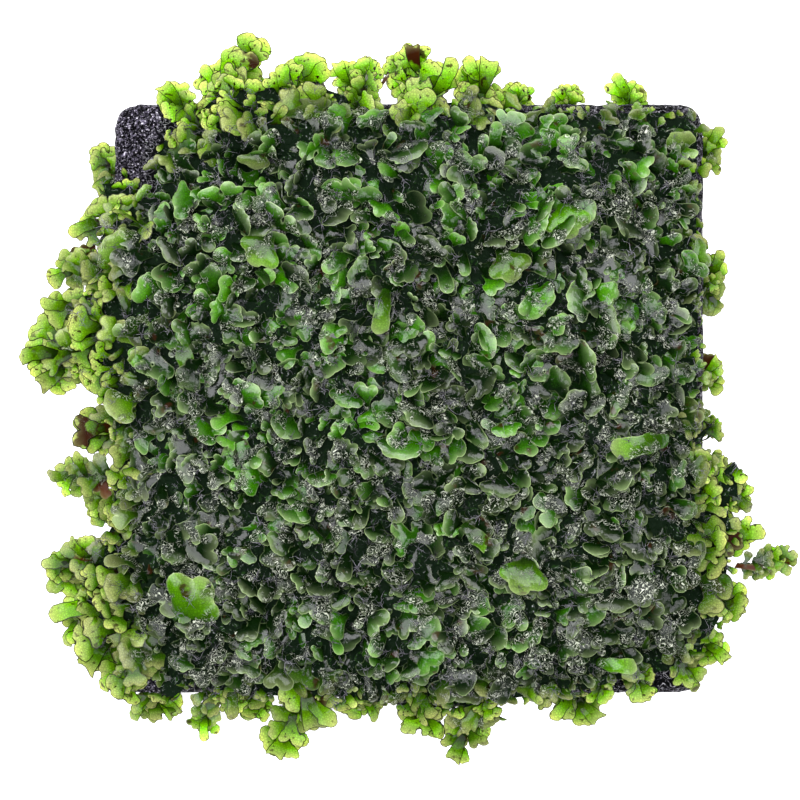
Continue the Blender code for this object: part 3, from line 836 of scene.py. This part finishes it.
def frond_kinds(settings, material):
    """The different fronds that the mat repeats, then those of their own shape, as objects in a
    collection of their own."""
    kinds = bpy.data.collections.new("frond kinds")
    rng = random.Random(settings.seed)
    shapes = []
    for i, (forks, breadth) in enumerate(COMMON_FRONDS):
        neck_radius, lobe_radius, *outline = INNER_GROWTH if i < INNER_KINDS else FRINGE_GROWTH
        shapes.append((forked_strips(rng, forks, breadth, neck_radius, lobe_radius), outline))
    for strips in OWN_SHAPES:
        points = np.array(strips) * MM
        shapes.append(([(p[:2], p[2:4], p[4], p[5]) for p in points], INNER_GROWTH[2:]))
    for i, (strips, outline) in enumerate(shapes):
        flatter = INNER_KINDS <= i < len(COMMON_FRONDS)
        lift = arched_lift(rng, FRINGE_STEEPNESS if flatter else 1)
        mesh = blade_mesh(f"frond kind {i:02d}", strips, rng, lift, material, *outline)
        kinds.objects.link(bpy.data.objects.new(mesh.name, mesh))
    return kinds


def add_thread(shape, rng, heading):
    """Adds one bent, tapered, three-sided root thread that starts at the origin."""
    place, rings, steps = Vector(), [], rng.randint(4, 7)
    for step in range(steps + 1):
        radius = THREAD_RADIUS * (1 - 0.8 * step / steps)
        side = heading.orthogonal().normalized()
        up = side.cross(heading)
        rings.append([
            shape.verts.new(place + (side * math.cos(a) + up * math.sin(a)) * radius)
            for a in (0, math.tau / 3, math.tau * 2 / 3)
        ])
        place = place + heading * THREAD_STEP
        bend = Vector([rng.uniform(-THREAD_BEND, THREAD_BEND) for _ in range(3)])
        heading = (heading + bend - Vector((0, 0, 0.1))).normalized()
    for a, b in zip(rings, rings[1:]):
        for j in range(3):
            shape.faces.new((a[j], a[(j + 1) % 3], b[(j + 1) % 3], b[j]))
    shape.faces.new(rings[0][::-1])
    shape.faces.new(rings[-1])


def thread_kinds(material):
    """Loose tufts of root threads, as objects in a collection of their own."""
    kinds = bpy.data.collections.new("thread kinds")
    rng = random.Random(THREAD_SEED)
    for i in range(TUFTS):
        mesh = bpy.data.meshes.new(f"thread kind {i:02d}")
        shape = bmesh.new()
        for turn in range(TUFT_THREADS):
            around = (turn + rng.random()) * math.tau / TUFT_THREADS
            rise = rng.uniform(0.1, 1.2)
            add_thread(
                shape, rng, Vector((math.cos(around), math.sin(around), rise)).normalized()
            )
        bmesh.ops.recalc_face_normals(shape, faces=shape.faces)
        shape.to_mesh(mesh)
        shape.free()
        mesh.shade_smooth()
        mesh.materials.append(material)
        kinds.objects.link(bpy.data.objects.new(mesh.name, mesh))
    return kinds


class MatPlan:
    """The plan of the mat, read from the solids: each clump's patch, and the mat's open rim."""

    def __init__(self):
        self.patches = {name: self.read_patch(name) for name in CLUMPS}
        self.rim_edges = []
        for name, patch in self.patches.items():
            others = [p for other, p in self.patches.items() if other != name]
            for a, b in zip(patch, np.roll(patch, -1, 0)):
                middle = (a + b)[None] / 2
                if min(self.gap(middle, p)[0] for p in others) > NEIGHBOUR_GAP:
                    self.rim_edges.append((a, b))

    @staticmethod
    def read_patch(name):
        """The clump's foot as a loop of points: the border of the faces on the mat's floor."""
        mesh = frame["nodes"][name].data
        points = np.round(np.array([v.co for v in mesh.vertices]), 5)
        on_floor = abs(points[:, 2] - MAT_FLOOR) < FLOOR_TOLERANCE
        sides = set()
        for face in mesh.polygons:
            if on_floor[list(face.vertices)].all():
                ring = [tuple(points[i][:2]) for i in face.vertices]
                sides |= {(a, b) for a, b in zip(ring, ring[1:] + ring[:1]) if a != b}
        following = dict((a, b) for a, b in sides if (b, a) not in sides)
        loop = [min(following)]
        while following[loop[-1]] != loop[0]:
            loop.append(following[loop[-1]])
        return np.array(loop[::-1])

    @staticmethod
    def distance_to_edges(points, starts, ends):
        """How far each point is from the nearest of the edges."""
        along = ends - starts
        offset = points[:, None] - starts[None]
        share = np.clip((offset * along).sum(2) / (along ** 2).sum(1), 0, 1)
        return np.linalg.norm(offset - along * share[..., None], axis=2).min(1)

    def gap(self, points, patch):
        """How far each point is from the patch's border."""
        return self.distance_to_edges(points, patch, np.roll(patch, -1, 0))

    def inland(self, points):
        """How far each point is from the mat's open rim."""
        starts, ends = (np.array([edge[i] for edge in self.rim_edges]) for i in (0, 1))
        return self.distance_to_edges(points, starts, ends)

    def away_from_rim(self, points):
        """Direction in which each point gets further from the mat's open rim."""
        step = 0.05 * MM
        across = self.inland(points + [step, 0]) - self.inland(points - [step, 0])
        up = self.inland(points + [0, step]) - self.inland(points - [0, step])
        found = np.stack([across, up], 1)
        return found / np.maximum(np.linalg.norm(found, axis=1, keepdims=True), 1e-12)

    def height(self, points):
        """Height of the felt over each point."""
        share = np.clip((self.inland(points) - RIM_INSET) / CROWN_REACH, 0, 1)
        found = MAT_FLOOR + SHOULDER + CROWN_RISE * share * share * (3 - 2 * share)
        for i, (x, y) in enumerate(points):
            found[i] += SWELL * noise.noise(Vector((x, y, 0)) / SWELL_LENGTH)
            found[i] += LUMP * noise.noise(Vector((x, y, 0)) / LUMP_LENGTH)
        for x, y, radius, depth in HOLLOWS:
            apart = np.linalg.norm(points - np.array([x, y]) * MM, axis=1) / (radius * MM)
            found -= depth * MM * np.exp(-apart ** 2)
        return np.maximum(found, MAT_FLOOR + LEAST_FELT)

    def felt_border(self, name):
        """The felt's own outline in one patch: held back from the mat's rim, and laid a little over
        the seams between patches."""
        patch = self.patches[name]
        border = []
        for a, b in zip(patch, np.roll(patch, -1, 0)):
            steps = max(1, round(np.linalg.norm(b - a) / FELT_EDGE_STEP))
            border += [a + (b - a) * i / steps for i in range(steps)]
        border = np.array(border)
        inward = patch.mean(0) - border
        inward /= np.linalg.norm(inward, axis=1, keepdims=True)
        near_rim = np.clip(1 - self.inland(border) / RIM_INSET, 0, 1)
        inset = np.where(np.abs(border).max(1) > OVERHANG_FROM, RIM_INSET, INNER_RIM_INSET)
        away = self.away_from_rim(border + inward * SEAM_OVERLAP)
        return border + away * (inset * near_rim)[:, None] - inward * SEAM_OVERLAP

    def youth(self, points):
        """How young the growth at each point is, and how much it is painted brighter as a glow of
        the light coming up from the floor through it: 1 for growth that hangs over the slab's
        sides, 0 well inside."""
        beyond = np.abs(points).max(1) / MM - SLAB_HALF
        bias = np.clip(-points[:, 0] / MM / SLAB_HALF, -0.3, 1)
        bias += 4 * np.exp(-np.sum(((points / MM - (-28, 38)) / 13) ** 2, 1))
        drift = [3 * noise.noise(Vector((x, y, 7 * MM)) / (6 * MM)) for x, y in points]
        return np.clip((beyond + bias + drift + 3.5) / 5, 0, 1)

    def gloom(self, points):
        """How dark and grey the growth at each point is: most at the lower middle and the lower
        corners."""
        x, y = points[:, 0] / MM, points[:, 1] / MM
        drift = [0.5 * noise.noise(Vector(p).to_3d() / (9 * MM)) for p in points]
        middle = np.exp(-(((x - 8) / 22) ** 2 + ((y + 14) / 14) ** 2))
        low_sides = np.clip(0.4 - y / SLAB_HALF, 0, 1) * abs(x) / SLAB_HALF
        evenly = 0.23 + 0.04 * x / SLAB_HALF - 0.1 * y / SLAB_HALF
        return np.clip(evenly + 0.15 * middle + 0.4 * low_sides + drift, 0, 1)


def add_values(mesh, name, values, kind="FLOAT"):
    """Adds one value for each of the mesh's points."""
    key = "vector" if kind == "FLOAT_VECTOR" else "value"
    made = mesh.attributes.new(name, kind, "POINT")
    made.data.foreach_set(key, np.asarray(values, np.float32).ravel())


def felt_mesh(name, plan, felt, planted):
    """The closed mound of root felt under one clump, with what grows at each of its points, and
    the loose points of the fronds planted at the rim."""
    border = plan.felt_border(name)
    low, high = border.min(0), border.max(0)
    x, y = np.meshgrid(np.arange(low[0], high[0], FELT_GRID), np.arange(low[1], high[1], FELT_GRID))
    inner = np.stack([x.ravel(), y.ravel()], 1)
    inner = inner[plan.gap(inner, border) > FELT_GRID / 2]
    places = [Vector(p) for p in np.concatenate([border, inner])]
    made = delaunay_2d_cdt(places, [], [list(range(len(border)))], 1, 1e-7)
    flat = np.array(made[0])
    shape = bmesh.new()
    tops = [shape.verts.new((*p, z)) for p, z in zip(flat, plan.height(flat))]
    for face in made[2]:
        shape.faces.new([tops[i] for i in face])
    # The walls are made edge by edge, so that their faces come in the same order in every run
    feet = {top: shape.verts.new((*top.co.xy, MAT_FLOOR)) for top in tops if top.link_faces}
    rim = [edge.link_loops[0] for edge in shape.edges if len(edge.link_faces) == 1]
    sides = [(loop.vert, loop.link_loop_next.vert) for loop in rim]
    for face in shape.faces[:]:
        shape.faces.new([feet[top] for top in reversed(face.verts)])
    for start, end in sides:
        shape.faces.new((end, start, feet[start], feet[end]))
    bmesh.ops.recalc_face_normals(shape, faces=shape.faces)
    for sprig in planted:
        shape.verts.new(sprig["root"])
    mesh = bpy.data.meshes.new(name)
    shape.to_mesh(mesh)
    shape.free()
    add_growth(mesh, plan, planted)
    grows = []
    for face in mesh.polygons:
        inland = plan.inland(np.array(face.center[:2])[None])[0]
        outer_wall = abs(face.normal.z) < WALL_RISE and inland < 1.4 * RIM_INSET
        bare = any(
            math.dist(face.center[:2], (x * MM, y * MM)) < BARE_SHARE * radius * MM
            for x, y, radius, _ in HOLLOWS
        )
        grows.append(bool(face.normal.z > WALL_RISE or outer_wall) and not bare)
    mesh.attributes.new("grows", "BOOLEAN", "FACE").data.foreach_set("value", grows)
    mesh.materials.append(felt)
    return mesh


def add_growth(mesh, plan, planted):
    """Adds what grows at each point of the mesh, whose last points are the planted fronds'."""
    points = np.array([v.co for v in mesh.vertices])[:, :2]
    inland = plan.inland(points) / MM
    first = len(points) - len(planted)
    youth, gloom = plan.youth(points), plan.gloom(points)
    reach = np.clip(0.54 + (inland - RIM_INSET / MM) * 0.12, 0.54, 1)
    own = {key: np.zeros(len(points)) for key in ("planted", "tone", "withered", "kind")}
    heading, facing = np.zeros((len(points), 3)), np.zeros((len(points), 3))
    for i, sprig in enumerate(planted, first):
        youth[i], gloom[i], reach[i], own["planted"][i] = sprig["youth"], 0, sprig["size"], 1
        heading[i], facing[i] = sprig["heading"], sprig["facing"]
        for key in ("tone", "withered", "kind"):
            own[key][i] = sprig[key]
    for name, values in {"youth": youth, "gloom": gloom, "reach": reach, **own}.items():
        add_values(mesh, name, values)
    add_values(mesh, "heading", heading, "FLOAT_VECTOR")
    add_values(mesh, "facing", facing, "FLOAT_VECTOR")


def named_leaf(rng, shape, root, turn, size, tone, withered):
    """One of the leaves that stand out in the mat."""
    heading = Vector((math.cos(math.radians(turn)), math.sin(math.radians(turn)), 0))
    sway = Vector((rng.uniform(-0.2, 0.2), rng.uniform(-0.2, 0.2), 1))
    return {
        "root": Vector(root) * MM, "heading": heading, "facing": heading * 0.35 + sway,
        "size": size, "youth": 0.15, "tone": tone, "withered": withered,
        "kind": len(COMMON_FRONDS) + shape,
    }


def tip_kind(rng):
    """The kind of frond at a lobe's tip: a strap, a horned leaf or a common one."""
    chance = rng.random()
    if chance < STRAP_SHARE:
        return len(COMMON_FRONDS) + OWN_SHAPES.index(TONGUE)
    if chance < STRAP_SHARE + HORNED_SHARE:
        return len(COMMON_FRONDS) + OWN_SHAPES.index(HORNED_LEAF)
    return rng.randrange(INNER_KINDS, len(COMMON_FRONDS))


def planted_fronds(rng, root, tips):
    """The fronds of one sprig: each lobe of it is a frond that ends at the lobe's tip, with
    shorter ones beside it and below it."""
    found = []
    base = Vector(root) * MM
    for x, y, z, width in tips:
        tip = Vector((x, y, z)) * MM
        out = Vector((tip.x - base.x, tip.y - base.y, 0))
        run = out.length
        out.normalize()
        size = min(width / 4, run / FROND_LENGTH * 1.1)
        height = base.z + (tip.z - base.z) * 0.5 - 0.8 * MM * size
        for back, turn, smaller in FAN:
            if back * FROND_LENGTH * size > run:
                continue
            # Fronds further back from the lobe's tip get a darker tone and less of the rim's
            # painted glow: painted shade under the fronds in front of them
            shade = min(back, 1)
            at_top = tip.y > TOP_SPRIGS_FROM
            turn += rng.uniform(-0.2, 0.2) * (turn != 0)
            own_size = size * smaller * rng.uniform(0.9, 1.1)
            foot = tip - out * FROND_LENGTH * (0.92 * own_size + back * size)
            foot.z = height + rng.uniform(-0.4, 1.4) * MM
            heading = Vector((
                out.x * math.cos(turn) - out.y * math.sin(turn),
                out.x * math.sin(turn) + out.y * math.cos(turn), 0,
            ))
            sway = Vector((rng.uniform(-0.4, 0.4), rng.uniform(-0.4, 0.4), 1))
            found.append({
                "root": foot,
                "heading": heading,
                "facing": heading * rng.uniform(0.2, 0.6) + sway,
                "size": own_size,
                "youth": rng.uniform(0.45, 1.05) * (1 - 0.6 * shade) + 0.4 * at_top,
                "tone": rng.random() + 0.1 - 0.4 * shade + 0.4 * at_top,
                "withered": float(rng.random() < WITHERED_SHARE),
                "kind": rng.randrange(INNER_KINDS, len(COMMON_FRONDS)) if back else tip_kind(rng),
            })
    return found


def grow_kinds(tree, points, chosen, kinds, kind, material, heading, facing, size):
    """Puts one of the kinds at each chosen point, turned and sized, and makes it real mesh."""
    upright = add_node(tree, ALIGN, {"Vector": facing}, axis="Z")
    turned = add_node(
        tree, ALIGN, {"Rotation": upright, "Vector": heading}, axis="Y", pivot_axis="Z"
    )
    children = add_node(
        tree, "GeometryNodeCollectionInfo",
        {"Collection": kinds, "Separate Children": True, "Reset Children": True},
    )
    placed = add_node(
        tree, "GeometryNodeInstanceOnPoints",
        {
            "Points": points, "Selection": chosen, "Instance": children, "Pick Instance": True,
            "Instance Index": kind, "Rotation": turned, "Scale": size,
        },
    )
    real = add_node(tree, "GeometryNodeRealizeInstances", {"Geometry": placed})
    return add_node(tree, "GeometryNodeSetMaterial", {"Geometry": real, "Material": material})


def growth_tree():
    """Geometry Nodes tree that grows fronds and root threads over the felt, and fronds from each
    planted point."""
    tree = bpy.data.node_groups.new("fern growth", "GeometryNodeTree")
    for name, kind in (
        ("Felt", "Geometry"), ("Fronds", "Collection"), ("Threads", "Collection"),
        ("Frond Spacing", "Float"), ("Thread Spacing", "Float"), ("Frond Scale", "Float"),
        ("Seed", "Int"), ("Frond Material", "Material"), ("Thread Material", "Material"),
    ):
        tree.interface.new_socket(name, in_out="INPUT", socket_type=f"NodeSocket{kind}")
    tree.interface.new_socket("Mat", in_out="OUTPUT", socket_type="NodeSocketGeometry")
    given = add_node(tree, "NodeGroupInput").outputs
    grows = add_node(tree, STORED, ("grows",), data_type="BOOLEAN")
    planted = add_node(tree, STORED, ("planted",), data_type="BOOLEAN")
    reach = add_node(tree, STORED, ("reach",), data_type="FLOAT")
    own_kind = add_node(tree, STORED, ("kind",), data_type="INT")
    own_heading, own_facing = (
        add_node(tree, STORED, (name,), data_type="FLOAT_VECTOR") for name in ("heading", "facing")
    )

    fronds, tufts = (
        add_node(
            tree, "GeometryNodeDistributePointsOnFaces",
            {
                "Mesh": given["Felt"], "Selection": grows, "Seed": given["Seed"],
                "Distance Min": given[spacing], "Density Max": 4e6, "Density Factor": 0.85,
            },
            distribute_method="POISSON",
        )
        for spacing in ("Frond Spacing", "Thread Spacing")
    )
    fresh_points = []
    for points in (fronds, tufts):
        tone = add_node(tree, RANDOM, {"Min": 0.0, "Max": 1.0, "Seed": 9}, data_type="FLOAT")
        fresh_points.append(add_node(
            tree, STORE, {"Geometry": points, "Name": "tone", "Value": tone},
            data_type="FLOAT", domain="POINT",
        ))

    # Fronds head outwards from the mat's middle, and a little towards its lower edge
    place = add_node(tree, "GeometryNodeInputPosition")
    outward = add_node(tree, VECTORS, (place, (22.0, 22.0, 0.0)), operation="MULTIPLY")
    downward = add_node(tree, VECTORS, (outward, (0.0, -0.45, -0.3)))
    stray = add_node(
        tree, RANDOM, {"Min": (-1.2, -1.2, -0.3), "Max": (1.2, 1.2, 0.3), "Seed": 1},
        data_type="FLOAT_VECTOR",
    )
    heading = add_node(tree, VECTORS, (downward, stray))
    tilt = add_node(
        tree, RANDOM, {"Min": (-0.6, -0.6, -0.2), "Max": (0.6, 0.6, 0.2), "Seed": 2},
        data_type="FLOAT_VECTOR",
    )
    facing = add_node(tree, VECTORS, (fronds.outputs["Normal"], tilt))
    size = add_node(tree, RANDOM, {"Min": 0.4, "Max": 0.86, "Seed": 3}, data_type="FLOAT")
    rare = add_node(tree, MATHS, (size, 6.0), operation="POWER")
    size = add_node(tree, MATHS, (size, add_node(tree, REMAP, (rare, 0.0, 0.4, 0.0, 0.25))))
    size = add_node(tree, MATHS, (size, reach), operation="MULTIPLY")
    size = add_node(tree, MATHS, (size, given["Frond Scale"]), operation="MULTIPLY")
    kind = add_node(
        tree, RANDOM, {"Min": 0, "Max": INNER_KINDS - 1, "Seed": 7}, data_type="INT"
    )
    grown = grow_kinds(
        tree, fresh_points[0], True, given["Fronds"], kind, given["Frond Material"],
        heading, facing, size,
    )
    sprigs = grow_kinds(
        tree, given["Felt"], planted, given["Fronds"], own_kind, given["Frond Material"],
        own_heading, own_facing, reach,
    )

    # Tufts of threads hang at different heights among the fronds
    rise = add_node(
        tree, RANDOM, {"Min": (0.0, 0.0, 0.8 * MM), "Max": (0.0, 0.0, 4.2 * MM), "Seed": 4},
        data_type="FLOAT_VECTOR",
    )
    lifted = add_node(
        tree, "GeometryNodeSetPosition", {"Geometry": fresh_points[1], "Offset": rise}
    )
    turn = add_node(
        tree, RANDOM, {"Min": (-1.0, -1.0, 0.0), "Max": (1.0, 1.0, 0.0), "Seed": 5},
        data_type="FLOAT_VECTOR",
    )
    tuft_size = add_node(tree, RANDOM, {"Min": 0.45, "Max": 1.0, "Seed": 6}, data_type="FLOAT")
    tuft = add_node(tree, RANDOM, {"Min": 0, "Max": TUFTS - 1, "Seed": 8}, data_type="INT")
    threads = grow_kinds(
        tree, lifted, True, given["Threads"], tuft, given["Thread Material"],
        turn, (0.0, 0.0, 1.0), tuft_size,
    )
    felt = add_node(
        tree, "GeometryNodeDeleteGeometry", {"Geometry": given["Felt"], "Selection": planted},
        domain="POINT",
    )
    joined = add_node(tree, "GeometryNodeJoinGeometry")
    for part in (threads, sprigs, grown, felt):
        tree.links.new(part.outputs[0], joined.inputs[0])
    add_node(tree, "NodeGroupOutput", {"Mat": joined})
    return tree


def set_input(modifier, name, value):
    """Sets a Geometry Nodes modifier's input by its socket's identifier."""
    for item in modifier.node_group.interface.items_tree:
        if item.name == name and item.in_out == "INPUT":
            modifier[item.identifier] = value


def growth_modifier_inputs(settings):
    """The growth tree and what it is given, made once and then kept."""
    if "fern growth" in bpy.data.node_groups:
        tree = bpy.data.node_groups["fern growth"]
        fronds, threads = (bpy.data.collections[f"{kind} kinds"] for kind in ("frond", "thread"))
        leaf, thread = (bpy.data.materials[name] for name in ("frond_blade_wet", "root_thread_wet"))
    else:
        leaf, thread = wet_blade(settings), root_thread()
        fronds, threads = frond_kinds(settings, leaf), thread_kinds(thread)
        tree = growth_tree()
    return tree, {
        "Fronds": fronds, "Threads": threads, "Frond Spacing": settings.frond_spacing,
        "Thread Spacing": settings.thread_spacing, "Frond Scale": settings.frond_scale,
        "Frond Material": leaf, "Thread Material": thread,
    }


def grow(piece, growth, seed):
    """Grows the fronds and threads of a piece, and makes them its plain mesh."""
    tree, inputs = growth
    modifier = piece.modifiers.new("growth", "NODES")
    modifier.node_group = tree
    for socket, value in inputs.items():
        set_input(modifier, socket, value)
    set_input(modifier, "Seed", seed)
    settle(piece)


def settle(obj):
    """Turns an object's evaluated shape into its plain mesh, and removes its modifiers."""
    graph = bpy.context.evaluated_depsgraph_get()
    mesh = bpy.data.meshes.new_from_object(obj.evaluated_get(graph))
    obj.modifiers.clear()
    obj.data = mesh
    return obj


def link(obj):
    """Puts an object into the scene."""
    bpy.context.scene.collection.objects.link(obj)
    return obj


def dress(piece, node):
    """Makes a piece stand for a solid, on the body that the solid is on."""
    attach(piece, BODY)
    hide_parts(node)


def pore_tree():
    """Geometry Nodes tree that sinks pores into a finely divided slab, all but its foot."""
    tree = bpy.data.node_groups.new("stone pores", "GeometryNodeTree")
    for name, kind in (
        ("Slab", "Geometry"), ("Pore Size", "Float"), ("Pore Depth", "Float"),
        ("Foot", "Float"), ("Stone", "Material"),
    ):
        tree.interface.new_socket(name, in_out="INPUT", socket_type=f"NodeSocket{kind}")
    tree.interface.new_socket("Porous Slab", in_out="OUTPUT", socket_type="NodeSocketGeometry")
    given = add_node(tree, "NodeGroupInput").outputs
    place = add_node(tree, "GeometryNodeInputPosition")
    fineness = add_node(tree, MATHS, (1.0, given["Pore Size"]), operation="DIVIDE")
    coarseness = add_node(tree, MATHS, (fineness, 0.4), operation="MULTIPLY")
    cells = add_node(tree, CELLS, {"Vector": place, "Scale": fineness}, feature="F1")
    pits = add_node(tree, REMAP, (cells, 0.2, 0.62, 1.0, 0.0))
    rough = add_node(tree, NOISE, {"Vector": place, "Scale": coarseness, "Detail": 3})
    patchy = add_node(tree, REMAP, (rough, 0.3, 0.7, 0.1, 1.2))
    sunk = add_node(tree, MATHS, (pits, patchy), operation="MULTIPLY")
    height = add_node(tree, "ShaderNodeSeparateXYZ", (place,)).outputs["Z"]
    above = add_node(tree, REMAP, (height, given["Foot"], 1.2 * MM))
    depth = add_node(tree, MATHS, (sunk, above), operation="MULTIPLY")
    depth = add_node(tree, MATHS, (depth, given["Pore Depth"]), operation="MULTIPLY")
    inward = add_node(tree, MATHS, (depth, -1.0), operation="MULTIPLY")
    offset = add_node(
        tree, VECTORS, {0: add_node(tree, "GeometryNodeInputNormal"), "Scale": inward},
        operation="SCALE",
    )
    marked = add_node(
        tree, STORE, {"Geometry": given["Slab"], "Name": "pit", "Value": sunk},
        data_type="FLOAT", domain="POINT",
    )
    moved = add_node(tree, "GeometryNodeSetPosition", {"Geometry": marked, "Offset": offset})
    real = add_node(tree, "GeometryNodeRealizeInstances", {"Geometry": moved})
    finished = add_node(
        tree, "GeometryNodeSetMaterial", {"Geometry": real, "Material": given["Stone"]}
    )
    add_node(tree, "NodeGroupOutput", {"Porous Slab": finished})
    return tree


class FERNMAT_OT_slab(bpy.types.Operator):
    """Make the porous slab from its solid, with pits and grains"""

    bl_idname = "fernmat.slab"
    bl_label = "Make slab"

    def execute(self, context):
        settings = context.scene.fern_mat
        mesh = frame["nodes"]["slab"].data.copy()
        shape = bmesh.new()
        shape.from_mesh(mesh)
        bmesh.ops.remove_doubles(shape, verts=shape.verts, dist=0.001 * MM)
        shape.to_mesh(mesh)
        shape.free()
        piece = link(bpy.data.objects.new("slab_porous", mesh))
        divided = piece.modifiers.new("fine grid", "REMESH")
        divided.mode = "VOXEL"
        divided.voxel_size = SLAB_GRID
        divided.use_smooth_shade = True
        settle(piece)
        points = np.array([v.co for v in piece.data.vertices])
        from_mat = np.full(len(points), MAT_REACH)
        top = points[:, 2] > SLAB_HIGH.z - SHADE_STAIN_DEPTH
        from_mat[top] = MatPlan().inland(points[top][:, :2])
        add_values(piece.data, "from_mat", from_mat)
        modifier = piece.modifiers.new("pores", "NODES")
        modifier.node_group = pore_tree()
        for socket, value in (
            ("Pore Size", settings.pore_size), ("Pore Depth", settings.pore_depth),
            ("Foot", PLAIN_FOOT), ("Stone", porous_stone(settings)),
        ):
            set_input(modifier, socket, value)
        settle(piece)
        dress(piece, "slab")
        return {"FINISHED"}


class FERNMAT_OT_clumps(bpy.types.Operator):
    """Grow each clump of the mat: root felt, fronds, threads and rim sprigs"""

    bl_idname = "fernmat.clumps"
    bl_label = "Grow clumps"

    def execute(self, context):
        settings = context.scene.fern_mat
        plan, felt = MatPlan(), root_felt()
        growth = growth_modifier_inputs(settings)
        middles = {name: patch.mean(0) for name, patch in plan.patches.items()}
        rng = random.Random(settings.seed)
        planted = {name: [] for name in CLUMPS}
        for place, tips in RIM_FRONDS:
            near = min(CLUMPS, key=lambda n: np.linalg.norm(middles[n] - np.array(place) * MM))
            planted[near] += planted_fronds(rng, (*place, RIM_ROOT_HEIGHT), tips)
        for shape, root, *rest in NAMED_LEAVES:
            near = min(CLUMPS, key=lambda n: np.linalg.norm(middles[n] - np.array(root[:2]) * MM))
            planted[near].append(named_leaf(rng, shape, root, *rest))
        for number, name in enumerate(CLUMPS):
            mesh = felt_mesh(name, plan, felt, planted[name])
            piece = link(bpy.data.objects.new(f"{name}_fronds", mesh))
            grow(piece, growth, settings.seed * 100 + number)
            dress(piece, name)
        return {"FINISHED"}


class FERNMAT_OT_side_fronds(bpy.types.Operator):
    """Grow the young fronds on the slab's sides"""

    bl_idname = "fernmat.side_fronds"
    bl_label = "Grow side fronds"

    def execute(self, context):
        settings = context.scene.fern_mat
        plan, growth = MatPlan(), growth_modifier_inputs(settings)
        rng = random.Random(settings.seed + 1)
        for number, (name, (root, tips)) in enumerate(SIDE_FRONDS.items()):
            planted = planted_fronds(rng, root, tips)
            mesh = bpy.data.meshes.new(name)
            mesh.from_pydata([sprig["root"] for sprig in planted], [], [])
            add_growth(mesh, plan, planted)
            piece = link(bpy.data.objects.new(f"{name}_blade", mesh))
            grow(piece, growth, settings.seed * 100 + 50 + number)
            dress(piece, name)
        for helpers in ("frond kinds", "thread kinds"):
            for obj in list(bpy.data.collections[helpers].objects):
                bpy.data.objects.remove(obj)
            bpy.data.collections.remove(bpy.data.collections[helpers])
        bpy.data.node_groups.remove(bpy.data.node_groups["fern growth"])
        return {"FINISHED"}


class FERNMAT_OT_stage(bpy.types.Operator):
    """Set the floor, the soft lights and the camera straight above"""

    bl_idname = "fernmat.stage"
    bl_label = "Set stage"

    def execute(self, context):
        scene = context.scene
        material, tree, shader = new_material("paper_white_matt")
        fill_inputs(
            tree, shader,
            {
                "Base Color": (0.7, 0.7, 0.7, 1), "Roughness": 0.9,
                "Emission Color": (1, 1, 1, 1), "Emission Strength": 1.0,
            },
        )
        mesh = bpy.data.meshes.new("floor")
        shape = bmesh.new()
        bmesh.ops.create_grid(shape, x_segments=1, y_segments=1, size=2)
        shape.to_mesh(mesh)
        shape.free()
        mesh.materials.append(material)
        floor = link(bpy.data.objects.new("floor", mesh))
        for name, place, size, power in LAMPS:
            light = bpy.data.lights.new(name, "AREA")
            light.size = size
            light.energy = power
            light.color = LAMP_COLOUR
            lamp = link(bpy.data.objects.new(name, light))
            lamp.location = place
            lamp.rotation_euler = Vector(place).to_track_quat("Z", "Y").to_euler()
        world = bpy.data.worlds.new("studio")
        world.use_nodes = True
        world.node_tree.nodes["Background"].inputs["Color"].default_value = (0.9, 0.93, 1, 1)
        world.node_tree.nodes["Background"].inputs["Strength"].default_value = 0.1
        scene.world = world
        scene.view_settings.view_transform = "Standard"
        camera = bpy.data.cameras.new("camera")
        camera.sensor_width = SENSOR_WIDTH
        camera.lens = SENSOR_WIDTH * CAMERA_HEIGHT / VIEW_WIDTH
        viewer = link(bpy.data.objects.new("camera", camera))
        viewer.location = (*VIEW_MIDDLE, SLAB_HIGH.z + CAMERA_HEIGHT)
        scene.camera = viewer
        return {"FINISHED"}


class FERNMAT_PT_panel(bpy.types.Panel):
    """Lists the steps in the 3D view's sidebar"""

    bl_idname = "FERNMAT_PT_panel"
    bl_label = "Fern mat"
    bl_space_type = "VIEW_3D"
    bl_region_type = "UI"
    bl_category = "Fern mat"

    def draw(self, context):
        settings = context.scene.fern_mat
        for name in FernMatSettings.__annotations__:
            self.layout.prop(settings, name)
        for operator in OPERATORS:
            self.layout.operator(operator.bl_idname)


OPERATORS = (
    FERNMAT_OT_slab, FERNMAT_OT_clumps, FERNMAT_OT_side_fronds, FERNMAT_OT_stage,
)
CLASSES = (FernMatSettings, *OPERATORS, FERNMAT_PT_panel)


def register():
    for cls in CLASSES:
        bpy.utils.register_class(cls)
    bpy.types.Scene.fern_mat = PointerProperty(type=FernMatSettings)


def unregister():
    del bpy.types.Scene.fern_mat
    for cls in reversed(CLASSES):
        bpy.utils.unregister_class(cls)


def main():
    register()
    bpy.ops.fernmat.slab()
    bpy.ops.fernmat.clumps()
    bpy.ops.fernmat.side_fronds()
    bpy.ops.fernmat.stage()


if __name__ == "__main__":
    main()
